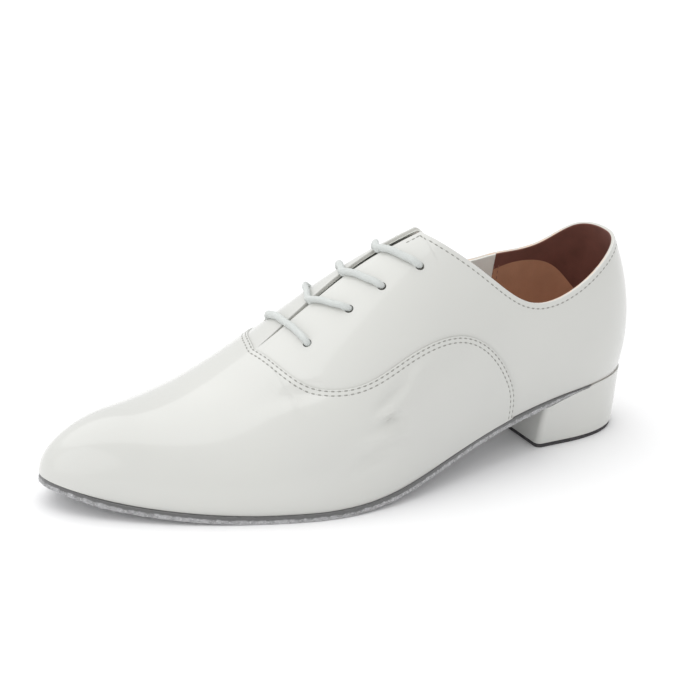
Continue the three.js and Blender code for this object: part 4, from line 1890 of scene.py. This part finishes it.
    def eyelet_axis(self, at: float, side: Side) -> tuple[Array, Array]:
        """Middle of an eyelet on the last, with its normal.

        Args:
            at: Share of the length.
            side: Side of the foot.

        Returns:
            The point and the normal.
        """
        up = self.last.up_at_distance(np.array([at]), self.eyelet_spread, side)
        share = np.array([at])
        return self.last.point(share, up, side)[0], self.last.normal(share, up, side)[0]

    def _cut_eyelets(self, made: Piece) -> None:
        """Cuts the eight eyelet holes through the facings.

        Args:
            made: The shell.
        """
        work = bmesh.new()
        for at, _ in EYELET_PAIRS:
            for side in Side:
                middle, out = self.eyelet_axis(at, side)
                turn = Vector(out).to_track_quat("Z", "Y").to_matrix().to_4x4()
                place = Matrix.Translation(Vector(middle * MM)) @ turn
                bmesh.ops.create_cone(
                    work,
                    cap_ends=True,
                    segments=self.eyelet_sides,
                    radius1=self.eyelet / 2 * MM,
                    radius2=self.eyelet / 2 * MM,
                    depth=self.punch_reach * (self.wall + self.lap) * MM,
                    matrix=place,
                )
        mesh = bpy.data.meshes.new("eyelet_punches")
        work.to_mesh(mesh)
        work.free()
        punches = link_new("eyelet_punches", mesh)
        mesh.materials.append(made.data.materials[1])
        cut = made.modifiers.new("eyelets", "BOOLEAN")
        cut.operation = "DIFFERENCE"
        cut.solver = "EXACT"
        cut.object = punches
        graph = bpy.context.evaluated_depsgraph_get()
        result = bpy.data.meshes.new_from_object(made.evaluated_get(graph))
        made.modifiers.clear()
        made.data = result
        bpy.data.objects.remove(punches)

    # Stitches

    def _beside(self, share: Array, up: Array, side: Side, away: float) -> Array:
        """A line beside another on the last; a positive "away" is towards the toe or the sole.

        Args:
            share: Shares of the length.
            up: Shares of each section's profile.
            side: Side of the foot.
            away: Distance from the line, in millimetres.

        Returns:
            Points of the new line.
        """
        line = self.last.point(share, up, side)
        out = self.last.normal(share, up, side)
        way = tangents(line)
        square = np.cross(way, out) * side.value
        return line + square * away

    def stitches(self, shell: Piece, tree: StitchTree) -> list[Piece]:
        """Lays the double rows along the vamp's seam and the single rows along the top edges.

        Args:
            shell: The finished shell.
            tree: Geometry Nodes that lay the bars.

        Returns:
            The thread, grey with painted shade, and the dark bars of painted shade at the needle
            holes.
        """
        skin = Skin(shell)
        lines = []
        for row in self.seam_rows:
            halves = []
            for side in Side:
                share, up, _ = self.seam_line(side)
                halves.append(self._beside(share, up, side, row))
            line = np.concatenate([halves[0], halves[1][::-1]])
            lines.append(self._untangled(line))
        for side in Side:
            share, up, _ = self.edge_line(side, self.grids[side])
            keep = share < self.row_end
            lines.append(self._untangled(self._beside(share[keep], up[keep], side, self.edge_row)))
        pitch, sink = self.stitch_pitch, self.stitch_sink
        threads = [skin.row(line, pitch, sink) for line in lines]
        # Dark bars between the stitches: painted shade of the needle holes.
        holes = [skin.row(line, pitch, sink, phase=0.0) for line in lines]
        # The thread's grey is painted shade.
        thread = SHADED_UPPER_THREAD.material()
        hole = NEEDLE_HOLE_SHADE.material()
        sewn = tree.lay("upper_stitches", Marks.joined(threads), self.stitch_size, thread)
        hole_shade_marks = tree.lay("upper_needle_hole_shade", Marks.joined(holes), self.hole_size, hole)
        return [sewn, hole_shade_marks]

    def _untangled(self, line: Array) -> Array:
        """The line without points that run back on themselves.

        Args:
            line: Points of the line.

        Returns:
            The points that are kept.
        """
        keep = [0]
        for i in range(1, len(line)):
            if np.linalg.norm(line[i] - line[keep[-1]]) > self.least_step:
                keep.append(i)
        return line[keep]

    def lining_stitches(self, shell: Piece, tree: StitchTree) -> Piece:
        """Lays the two rows where the brown lining meets the white.

        Args:
            shell: The finished shell.
            tree: Geometry Nodes that lay the bars.

        Returns:
            The thread.
        """
        skin = Skin(shell)
        border = QuarterLining().border
        marks = []
        for side in Side:
            for away in self.lining_rows:
                share = np.full(self.line_points, border + away)
                top = self.top_up(share[:1], side)[0]
                up = np.linspace(top - self.lining_gap, self.lining_foot, self.line_points)
                depth = -(self.wall + self.lap + self.lining_depth)
                inside = self.last.normal(share, up, side) * depth
                line = self.last.point(share, up, side) + inside
                marks.append(skin.row(line, self.lining_pitch, self.lining_sink))
        thread = LINING_THREAD.material()
        return tree.lay("lining_stitches", Marks.joined(marks), self.lining_size, thread)


# Tongue and laces


@dataclass
class Tongue:
    """The tongue under the facings."""

    last: ShoeLast
    thickness: float = 1.8
    half_width: float = 19.0
    under: float = 3.8
    top: float = 0.386
    base: float = 0.657
    top_round: float = 0.035
    top_blunt: float = 0.006
    rings: int = 60
    gather: float = 1.5
    across: int = 33
    edge_steps: int = 7
    least_half: float = 0.2

    def build(self) -> Piece:
        """Builds the tongue with rounded edges.

        Returns:
            The tongue.
        """
        shares = self.top + (self.base - self.top) * np.linspace(0, 1, self.rings) ** self.gather
        across = np.linspace(-1, 1, self.across)
        turn = np.linspace(0, np.pi, self.edge_steps)[1:-1]
        flat = np.zeros(len(across))
        half = self.thickness / 2
        middle = -self.under - half
        fraction = np.concatenate([across, np.ones(len(turn)), across[::-1], -np.ones(len(turn))])
        depth = middle + half * np.concatenate([flat + 1, np.cos(turn), flat - 1, -np.cos(turn)])
        beyond = half * np.concatenate([flat, np.sin(turn), flat, np.sin(turn)])
        reach = self.half_width * round_end(shares - self.top + self.top_blunt, self.top_round, 2)
        flat_half = np.maximum(reach - half, self.least_half)
        distance = np.abs(fraction) * flat_half[:, None] + beyond
        share = np.repeat(shares[:, None], len(fraction), axis=1)
        rings = np.zeros(distance.shape + (3,))
        for side in Side:
            up = self.last.up_at_distance(share, distance, side)
            up = np.where(distance < TINY, 1.0, up)
            out = self.last.normal(share, up, side)
            spots = self.last.point(share, up, side) + out * depth[:, None]
            ours = fraction * side.value >= 0
            rings[:, ours] = spots[:, ours]
        made = loft("tongue_leather", rings)
        made.data.materials.append(PatentWhite(name="tongue_white", seam_line=False).material())
        return made


@dataclass
class Laces:
    """The four crossings of the lace, from eyelet to eyelet."""

    last: ShoeLast
    upper: Upper
    diameter: float = 3.6
    flatness: float = 0.80
    facing: float = 0.7
    rest: float = 0.08
    over: tuple[float, float] = (0.9, 2.2)
    under: tuple[float, float] = (2.0, 1.2)
    at_ridge: float = 0.05
    line_points: int = 400
    step: float = 0.55

    @property
    def ride(self) -> float:
        """Height of a strand's centre line over the last, where it lies on a facing."""
        return self.diameter * self.flatness / 2 - self.facing + self.rest

    def _spot(self, share: float, distance: float, height: float, side: Side) -> Array:
        """A place over a facing; a negative distance lies across the ridge.

        Args:
            share: Share of the length.
            distance: Distance from the ridge.
            height: Height over the last.
            side: Side of the foot.

        Returns:
            The place, in millimetres.
        """
        real = side
        if distance < 0:
            real = Side.MEDIAL if side is Side.LATERAL else Side.LATERAL
        at = np.array([share])
        up = np.ones(1)
        if abs(distance) > self.at_ridge:
            up = self.last.up_at_distance(at, abs(distance), real)
        return (self.last.point(at, up, real) + self.last.normal(at, up, real) * height)[0]

    def _spots(
        self, rows: Sequence[Triple], at: float, crossing: float, side: Side
    ) -> list[Array]:
        """Places of rows of distance from the ridge, height, and share of the crossing.

        Args:
            rows: The rows.
            at: Share of the eyelet pair.
            crossing: How far towards the toe the lace crosses.
            side: Side of the foot.

        Returns:
            The places.
        """
        return [self._spot(at + crossing * drift, far, high, side) for far, high, drift in rows]

    def _strand(self, at: float, crossing: float, side: Side, dip: float, reach: float) -> Array:
        """Centre line of one strand, from inside its eyelet over the facing to the slot.

        Args:
            at: Share of the eyelet pair.
            crossing: How far towards the toe the strands meet.
            side: Side of the foot.
            dip: How deep the strand's end goes at the ridge.
            reach: How far it goes past the ridge.

        Returns:
            Points of the centre line.
        """
        spread = self.upper.eyelet_spread
        ride = self.ride
        rows = (
            (spread - 0.5, -3.0, 0.00),
            (spread - 0.6, -1.2, 0.01),
            (spread - 1.3, 0.0, 0.10),
            (spread - 2.8, ride, 0.22),
            (spread - 5.2, ride + 0.05, 0.40),
            (spread - 8.5, ride, 0.58),
            (spread - 12.0, ride, 0.74),
            (3.0, ride - dip * 0.05, 0.88),
            (0.6, ride - dip * 0.35, 0.98),
            (-reach * 0.6, ride - dip * 0.75, 1.03),
            (-reach, ride - dip * 1.3, 1.06),
        )
        return self._curve(np.array(self._spots(rows, at, crossing, side)))

    def _bar(self, at: float, crossing: float) -> Array:
        """Centre line of the straight bar nearest the toe.

        Args:
            at: Share of the eyelet pair.
            crossing: How far towards the toe the lace crosses.

        Returns:
            Points of the centre line.
        """
        spread = self.upper.eyelet_spread
        ride = self.ride
        rows = (
            (spread - 0.1, -3.0, 0.0),
            (spread - 0.2, -1.2, 0.0),
            (spread - 0.9, 0.0, 0.0),
            (spread - 2.4, ride, 0.08),
            (spread - 5.0, ride, 0.3),
            (spread - 10.0, ride, 0.6),
            (spread - 14.0, ride, 0.9),
        )
        first = self._spots(rows, at, crossing, Side.LATERAL)
        second = self._spots(rows, at, crossing, Side.MEDIAL)
        middle = self._spot(at + crossing, 0.0, ride - 0.1, Side.LATERAL)
        return self._curve(np.array(first + [middle] + second[::-1]))

    def _curve(self, points: Array) -> Array:
        """A smooth line through points, evenly spaced.

        Args:
            points: Points of the line.

        Returns:
            Points of the smooth line.
        """
        run = lengths(points)
        fine = np.linspace(0, run[-1], self.line_points)
        line = np.stack([NaturalCurve(run, points[:, k])(fine) for k in range(3)], -1)
        return resample(line, self.step)

    def _cord(self, name: str, line: Array) -> Piece:
        """One strand of cord along a line."""
        return tube(name, line, self.diameter / 2, flatten=self.flatness)

    def build(self) -> list[Piece]:
        """Builds the crossings, one piece for each eyelet pair, from the toe to the collar.

        Returns:
            The four pieces.
        """
        finish = BraidedCotton().material()
        made = []
        for number, (at, crossing) in enumerate(EYELET_PAIRS, start=1):
            name = f"lace_{number}"
            if number == 1:
                cord = self._cord(name, self._bar(at, crossing))
            else:
                over = self._strand(at, crossing, Side.LATERAL, *self.over)
                under = self._strand(at, crossing, Side.MEDIAL, *self.under)
                strands = [self._cord(name, over), self._cord(name + "_under", under)]
                cord = join_objects(name, strands)
            cord.data.materials.append(finish)
            made.append(cord)
        return made


def join_objects(name: str, parts: Sequence[Piece]) -> Piece:
    """Joins meshes without materials into one object.

    Args:
        name: Name of the joined piece.
        parts: The objects, which are removed.

    Returns:
        The joined object.
    """
    work = bmesh.new()
    for part in parts:
        work.from_mesh(part.data)
    mesh = bpy.data.meshes.new(name)
    work.to_mesh(mesh)
    work.free()
    for part in parts:
        bpy.data.objects.remove(part)
    mesh.shade_smooth()
    return link_new(name, mesh)


# Insole, outsole and heel


@dataclass(frozen=True)
class Fray:
    """How the loose fibres at the outsole's edge lie."""

    count: int = 900
    seed: int = 23
    start: float = 0.02
    jitter: float = 0.001
    highest: float = 0.6
    gather: float = 1.2
    drop: tuple[float, float] = (-0.7, 0.15)
    near_floor: float = 1.4
    lift: float = 0.4
    lowest: float = 0.6
    follow: Triple = (1.0, 1.0, 0.4)
    outward: float = 0.55
    spread: float = 0.9
    forward: float = 0.25
    off: float = 0.05
    tilt: float = 0.01
    size: Triple = (1.3, 0.22, 0.20)


@dataclass
class Bottom:
    """The insole inside, the outsole below, and the heel with its top piece."""

    last: ShoeLast
    insole_thickness: float = 2.6
    insole_inset: float = 3.8
    feather_edge: float = 0.5
    margin: float = 1.2
    sole_back: float = 0.1
    sole_full: float = 0.22
    margin_start: float = 0.3
    margin_full: float = 0.5
    toe_tip: float = 0.9994
    toe_wear: float = 1.3
    heel_rake: float = 2.5
    heel_base: float = 49.0
    heel_corner: float = 3.0
    top_piece: float = 1.6
    top_piece_inset: float = 0.5
    hollow: float = 0.35
    insole_rings: int = 130
    insole_across: int = 20
    insole_narrowest: float = 0.15
    insole_edge: Levels = (
        (1.0, 0.7), (0.93, 0.3), (0.75, 0.05), (0.5, 0.0), (0.2, 0.0), (0.0, 0.2),
    )
    tip_start: float = 0.93
    tip_reach: float = 0.07
    rag: float = 0.09
    rag_seed: int = 11
    fray: Fray = Fray()
    sole_rings: int = 300
    across: int = 16
    outline_steps: int = 2001
    sole_narrowest: float = 0.2
    sole_edge: Levels = (
        (1.0, 0.22), (0.94, 0.06), (0.86, 0.0), (0.72, 0.02), (0.56, 0.05), (0.40, 0.04),
        (0.25, 0.0), (0.12, 0.02), (0.04, 0.10), (0.0, 0.28),
    )
    seat_step: float = 0.004
    heel_narrowest: float = 0.3
    heel_rings: int = 54
    heel_gather: float = 3.0
    heel_front: float = 0.94
    corner_steps: tuple[float, ...] = (0.95, 0.8, 0.62, 0.45, 0.3, 0.18, 0.09, 0.03, 0.0)
    heel_wall: tuple[float, float, int] = (0.95, 0.1, 10)
    heel_foot: Levels = ((0.045, 0.02), (0.022, 0.10), (0.008, 0.25), (0.0, 0.45))
    top_piece_edge: Levels = ((1.0, 0.05), (0.9, 0.0), (0.5, 0.0), (0.15, 0.0), (0.0, 0.2))

    @staticmethod
    def _ring(sides: Levels, place: Place, across: int) -> Array:
        """One section of a plate.

        Args:
            sides: Levels and insets down the edge, from the top to the bottom.
            place: Gives a point for a fraction across, a level and an inset.
            across: Number of steps across.

        Returns:
            The section's points, in order round it.
        """
        fractions = np.linspace(-1, 1, across + 1)
        top_level, top_inset = sides[0]
        low_level, low_inset = sides[-1]
        top = [place(fraction, top_level, top_inset) for fraction in fractions]
        right = [place(1.0, level, inset) for level, inset in sides[1:-1]]
        low = [place(fraction, low_level, low_inset) for fraction in fractions[::-1]]
        left = [place(-1.0, level, inset) for level, inset in sides[-2:0:-1]]
        return np.array(top + right + low + left)

    def _shares(self, start: float, end: float, side: Side, inset: float, count: int) -> Array:
        """Shares spaced evenly along an outline.

        Args:
            start: First share.
            end: Last share.
            side: Side of the foot.
            inset: How far inside the outline, in millimetres.
            count: Number of steps.

        Returns:
            The shares.
        """
        fine = (1 - np.cos(np.pi * np.linspace(0, 1, self.outline_steps))) / 2
        fine = start + (end - start) * fine
        width = self.last.half_width(fine, side, inset)
        line = np.stack([self.last.along(fine, inset), width, np.zeros_like(fine)], -1)
        run = lengths(line)
        return np.interp(np.linspace(0, 1, count + 1), run / run[-1], fine)

    def insole(self) -> Piece:
        """Builds the insole with softened edges and a slight hollow.

        Returns:
            The insole.
        """
        last = self.last
        rings = []
        ends = 1 - self.toe_tip, self.toe_tip
        for share in self._shares(*ends, Side.MEDIAL, self.insole_inset, self.insole_rings):
            def place(fraction: float, level: float, inset: float) -> Array:
                """A point of this section.

                Args:
                    fraction: Place across, from -1 on the outer side to 1 on the inner.
                    level: Place between the underside (0) and the top (1).
                    inset: How far inside the outline, in millimetres.

                Returns:
                    The point, in millimetres.
                """
                side = Side.LATERAL if fraction < 0 else Side.MEDIAL
                all_inset = self.insole_inset + inset
                half = max(float(last.half_width(share, side, all_inset)), self.insole_narrowest)
                hollow = self.hollow * (1 - fraction ** 2) if level == 1.0 else 0.0
                z = float(last.feather_z(share)) + level * self.insole_thickness - hollow
                y = float(last.axis_y(share)) + fraction * half
                return np.array([float(last.along(share, all_inset)), y, z]) + last.shift
            rings.append(self._ring(self.insole_edge, place, self.insole_across))
        made = loft("insole_leather", np.array(rings))
        made.data.materials.append(INSOLE_TAN.material())
        return made

    def _at_tip(self, share: Array) -> Array:
        """How near shares are to the toe's tip, from 0 to 1."""
        return smooth((share - self.tip_start) / self.tip_reach)

    def _edge_margin(self, share: Array) -> Array:
        """How far the outsole stands out past the upper, which it stops doing at the toe's tip."""
        start = smooth((share - self.margin_start) / (self.margin_full - self.margin_start))
        return self.margin * start * (1 - self.toe_wear / 2 * self._at_tip(share))

    def _sole_thickness(self, share: float) -> float:
        """Thickness of the outsole, which tapers away over the heel seat."""
        full = float(smooth((share - self.sole_back) / (self.sole_full - self.sole_back)))
        return self.feather_edge + (self.last.sole_thickness - self.feather_edge) * full

    def outsole(self) -> Piece:
        """Builds the outsole with its trimmed, slightly ragged edge.

        Returns:
            The outsole.
        """
        last = self.last
        ragged = np.random.default_rng(self.rag_seed)
        levels = [level for level, _ in self.sole_edge]
        rings = []
        ends = self.sole_back, self.toe_tip
        for share in self._shares(*ends, Side.LATERAL, 0.0, self.sole_rings):
            rag = ragged.normal(0, self.rag, (len(levels), 2))
            top = float(last.feather_z(share)) - last.clearance
            low = max(top - self._sole_thickness(share), 0.0)
            toe = float(self._at_tip(share))
            margin = float(self._edge_margin(share))

            def place(fraction: float, level: float, inset: float) -> Array:
                """A point of this section, with its ragged edge.

                Args:
                    fraction: Place across, from -1 on the outer side to 1 on the inner.
                    level: Place between the underside (0) and the top (1).
                    inset: How far inside the outline, in millimetres.

                Returns:
                    The point, in millimetres.
                """
                side = Side.LATERAL if fraction < 0 else Side.MEDIAL
                worn = inset
                if abs(fraction) == 1.0:
                    worn += abs(rag[levels.index(level), 0 if fraction < 0 else 1])
                out = margin - worn
                half = max(float(last.half_width(share, side, -out)), self.sole_narrowest)
                y = float(last.axis_y(share)) + fraction * half
                x = float(last.along(share)) - out * share * (1 - self.toe_wear * toe)
                return np.array([x, y, low + (top - low) * level]) + last.shift
            rings.append(self._ring(self.sole_edge, place, self.across))
        made = loft("outsole_suede", np.array(rings))
        self._note_levels(made)
        made.data.materials.append(SoleSuede().material())
        return made

    def fibres(self, tree: StitchTree) -> Piece:
        """Lays the loose fibres that fray from the lower half of the outsole's edge.

        Args:
            tree: Geometry Nodes that lay small bars.

        Returns:
            The fibres.
        """
        last = self.last
        fray = self.fray
        chance = np.random.default_rng(fray.seed)
        marks = []
        for side in Side:
            share = self._shares(
                self.sole_back + fray.start, self.toe_tip, side, 0.0, fray.count
            )
            share = share + chance.normal(0, fray.jitter, len(share))
            share = np.clip(share, self.sole_back, self.toe_tip)
            margin = self._edge_margin(share)
            worn = 1 - self.toe_wear * self._at_tip(share)
            x = last.along(share) - margin * share * worn
            y = last.axis_y(share) + side.value * last.half_width(share, side, -margin)
            top = last.feather_z(share) - last.clearance
            deep = np.array([self._sole_thickness(value) for value in share])
            level = chance.uniform(0.0, fray.highest, len(share)) ** fray.gather
            low = np.maximum(top - deep, 0.0)
            line = np.stack([x, y, low + (top - low) * level], -1) + last.shift
            way = tangents(line)
            beyond = np.stack([way[:, 1], -way[:, 0], np.zeros(len(way))], -1) * -side.value
            drop = chance.uniform(*fray.drop, len(share))
            drop = np.where(line[:, 2] < fray.near_floor, np.abs(drop) * fray.lift, drop)
            line[:, 2] = np.maximum(line[:, 2], fray.lowest)
            flat = way * np.array(fray.follow)
            turned = flat * chance.normal(0, fray.spread, (len(share), 1))
            along = beyond * fray.outward + turned
            along[:, 2] += drop
            along /= np.linalg.norm(along, axis=1, keepdims=True)
            out = np.cross(along, way + fray.tilt)
            out /= np.linalg.norm(out, axis=1, keepdims=True)
            places = line + along * fray.forward + beyond * fray.off
            marks.append(Marks(places, along, out))
        finish = SUEDE_FIBRE.material()
        return tree.lay("outsole_fibres", Marks.joined(marks), fray.size, finish)

    def _note_levels(self, made: Piece) -> None:
        """Stores how high each point of the outsole's edge lies, from 0 below to 1 above.

        Args:
            made: The outsole.
        """
        places = read_points(made) - self.last.shift
        share = 0.5 - places[:, 0] / self.last.length
        top = self.last.feather_z(np.clip(share, 0, 1)) - self.last.clearance
        deep = np.array([self._sole_thickness(value) for value in np.clip(share, 0, 1)])
        set_float(made, "edge_level", np.clip(1 - (top - places[:, 2]) / deep, 0, 1))

    def _heel_half(self, share: float, side: Side, level: float, inset: float) -> float:
        """Half the heel's width at a share of the length and of its height.

        Args:
            share: Share of the length.
            side: Side of the foot.
            level: Place between the underside (0) and the top (1).
            inset: How far inside the outline, in millimetres.

        Returns:
            Half the width, in millimetres.
        """
        breast = self.last.heel_length / self.last.length
        corner = self.heel_corner / self.last.length
        rounding = self.heel_corner * (1 - float(round_end(breast - share, corner, 2)))
        top = float(self.last.half_width(share, side))
        back = float(round_end(share, self.last.heel_round, self.last.heel_bluntness))
        base = self.heel_base / 2 * back
        return max(base + (top - base) * level - rounding - inset, self.heel_narrowest)

    def _heel_point(
        self, share: float, fraction: float, level: float, z: float, inset: float
    ) -> Array:
        """A point of the heel block.

        Args:
            share: Share of the length.
            fraction: Place across, from -1 on the outer side to 1 on the inner.
            level: Place between the underside (0) and the top (1).
            z: Its height, in millimetres.
            inset: How far inside the outline, in millimetres.

        Returns:
            The point, in millimetres.
        """
        last = self.last
        side = Side.LATERAL if fraction < 0 else Side.MEDIAL
        breast = last.heel_length / last.length
        back = float(last.along(0.0)) - self.heel_rake * (1 - level) - inset
        front = float(last.along(breast)) + inset
        x = back + (front - back) * share / breast
        return np.array([x, fraction * self._heel_half(share, side, level, inset), z]) + last.shift

    def _heel_seat(self, share: float) -> float:
        """Height of the heel's top, under the upper and the end of the outsole.

        Args:
            share: Share of the length.

        Returns:
            The height, in millimetres.
        """
        lift = float(smooth((share - self.sole_back + self.seat_step) / self.seat_step))
        sole = self._sole_thickness(max(share, self.sole_back))
        under = (sole + self.last.clearance) * lift
        return float(self.last.feather_z(share)) - self.last.clearance - under

    def _heel_shares(self) -> Array:
        """Shares along the heel, close at the back and at the breast's corners.

        Returns:
            The shares.
        """
        breast = self.last.heel_length / self.last.length
        back = np.linspace(0, 1, self.heel_rings) ** self.heel_gather * breast * self.heel_front
        corner = self.heel_corner / self.last.length
        front = breast - corner * np.array(self.corner_steps)
        return np.unique(np.concatenate([back, front]))

    def heel(self) -> Piece:
        """Builds the covered heel block with a softened lower edge.

        Returns:
            The heel.
        """
        base = self.top_piece + self.last.clearance
        rings = []
        wall = [(level, 0.0) for level in np.linspace(*self.heel_wall)]
        levels = [(1.0, 0.0), *wall, *self.heel_foot]
        for share in self._heel_shares():
            seat = self._heel_seat(share)

            def place(fraction: float, level: float, inset: float) -> Array:
                """A point of this section."""
                return self._heel_point(share, fraction, level, base + (seat - base) * level, inset)
            rings.append(self._ring(levels, place, self.across))
        made = loft("heel_cover_leather", np.array(rings))
        made.data.materials.append(PatentWhite(name="heel_cover_white", seam_line=False).material())
        return made

    def heel_top_piece(self) -> Piece:
        """Builds the top piece, which the shoe stands on.

        Returns:
            The top piece.
        """
        inset = self.top_piece_inset
        levels = [(level, inset + more) for level, more in self.top_piece_edge]
        rings = []
        for share in self._heel_shares():
            def place(fraction: float, level: float, edge: float) -> Array:
                """A point of this section."""
                return self._heel_point(share, fraction, 0.0, level * self.top_piece, edge)
            rings.append(self._ring(levels, place, self.across))
        made = loft("heel_top_piece_rubber", np.array(rings))
        made.data.materials.append(TopPieceRubber().material())
        return made


# The studio


@dataclass(frozen=True)
class PhotoCamera:
    """The camera that took the shoe, aimed at the middle of the one shoe.

    Angles are in degrees, and the eye's offsets are in millimetres square to the view.
    """

    azimuth: float = -29.19
    elevation: float = 22.83
    roll: float = 2.51
    right: float = -61.73
    above: float = 60.53
    distance: float = 1315.9
    focal_pixels: float = 2298.2
    image_pixels: float = 700.0
    enlargement: float = 1.27
    sensor: float = 36.0
    nearest: float = 0.05
    farthest: float = 50.0

    def build(self, last: ShoeLast, target: Vector) -> None:
        """Places the camera.

        Args:
            last: The last, in whose frame the eye was found.
            target: Middle of the shoe, in metres.
        """
        azimuth, elevation = math.radians(self.azimuth), math.radians(self.elevation)
        back = np.array([
            math.sin(azimuth) * math.cos(elevation),
            -math.cos(azimuth) * math.cos(elevation),
            math.sin(elevation),
        ])
        right = np.array([math.cos(azimuth), math.sin(azimuth), 0.0])
        above = np.cross(back, right)
        roll = math.radians(self.roll)
        rolled_right = right * math.cos(roll) + above * math.sin(roll)
        rolled_above = above * math.cos(roll) - right * math.sin(roll)
        eye = rolled_right * self.right + rolled_above * self.above + back * self.distance
        eye = Vector((eye + last.shift) * MM)
        away = (eye - target).normalized()
        across = Vector(rolled_above).cross(away).normalized()
        upward = away.cross(across)
        data = bpy.data.cameras.new("photo_camera")
        data.sensor_width = self.sensor
        data.lens = self.focal_pixels * self.enlargement / self.image_pixels * self.sensor
        data.clip_start = self.nearest
        data.clip_end = self.farthest
        camera = link_new("photo_camera", data)
        turn = Matrix((across, upward, away)).transposed().to_4x4()
        camera.matrix_world = Matrix.Translation(eye) @ turn
        bpy.context.scene.camera = camera


@dataclass(frozen=True)
class SoftBox:
    """One large soft light."""

    name: str
    place: Triple
    size: float
    power: float
    colour: Triple = (1.0, 1.0, 1.0)

    def build(self, target: Vector) -> None:
        """Hangs the light and turns it to the shoe.

        Args:
            target: Middle of the shoe, in metres.
        """
        data = bpy.data.lights.new(self.name, "AREA")
        data.shape = "DISK"
        data.size = self.size
        data.energy = self.power
        data.color = self.colour
        lamp = link_new(self.name, data)
        lamp.location = self.place
        way = target - Vector(self.place)
        lamp.rotation_euler = way.to_track_quat("-Z", "Y").to_euler()


@dataclass
class Studio:
    """The pale floor, the soft lights and the white surround."""

    floor_size: float = 12.0
    surround: float = 0.88
    lights: tuple[SoftBox, ...] = (
        SoftBox("overhead_box", place=(-0.3, 0.6, 1.9), size=2.8, power=21.0),
        SoftBox("left_box", place=(-2.0, -0.7, 0.9), size=2.4, power=11.0),
    )

    def build(self, target: Vector) -> None:
        """Builds the floor, lights and surround.

        Args:
            target: Middle of the shoe, in metres.
        """
        half = self.floor_size / 2
        corners = [(-half, -half), (half, -half), (half, half), (-half, half)]
        points = np.array([(x / MM, y / MM, 0.0) for x, y in corners])
        floor = make_object("studio_floor", points, [(0, 1, 2, 3)])
        floor.data.materials.append(StudioFloor().material())
        floor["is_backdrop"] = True
        for light in self.lights:
            light.build(target)
        world = bpy.data.worlds.new("studio_surround")
        world.use_nodes = True
        background = world.node_tree.nodes["Background"]
        background.inputs["Color"].default_value = (1.0, 1.0, 1.0, 1.0)
        background.inputs["Strength"].default_value = self.surround
        bpy.context.scene.world = world
        bpy.context.scene.view_settings.view_transform = "Standard"


# Assembly


def install(made: Piece, slot: Slot, *nodes: str) -> None:
    """Rides a piece on the shoe's body and hides the nodes that it stands for.

    Args:
        made: The finished piece.
        slot: The record's material slot. Not used.
        nodes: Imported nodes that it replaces.
    """
    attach(made, BODY)
    if nodes:
        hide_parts(*nodes)
    log.info("%s: %d faces", made.name, len(made.data.polygons))


def main() -> None:
    """Builds the shoe, the studio and the camera."""
    logging.basicConfig(level=logging.INFO, format="%(name)s: %(message)s")
    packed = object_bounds()
    last = ShoeLast()
    target = (packed[0] + packed[1]) / 2
    PhotoCamera().build(last, target)
    upper = Upper(last)
    shell = upper.build()
    tree = StitchTree("stitch_bars")
    install(shell, Slot.PATENT, "upper")
    for sewn in upper.stitches(shell, tree):
        install(sewn, Slot.PATENT)
    install(upper.lining_stitches(shell, tree), Slot.INSOLE)
    install(Tongue(last).build(), Slot.TONGUE, "tongue")
    for number, cord in enumerate(Laces(last, upper).build(), start=1):
        install(cord, Slot.LACE, f"lace_bar_{number}")
    bottom = Bottom(last)
    install(bottom.insole(), Slot.INSOLE, "insole")
    install(bottom.outsole(), Slot.SUEDE, "outsole")
    install(bottom.fibres(tree), Slot.SUEDE)
    install(bottom.heel(), Slot.HEEL_COVER, "heel")
    install(bottom.heel_top_piece(), Slot.TOP_PIECE, "heel_top_piece")
    Studio().build(target)


if __name__ == "__main__":
    main()
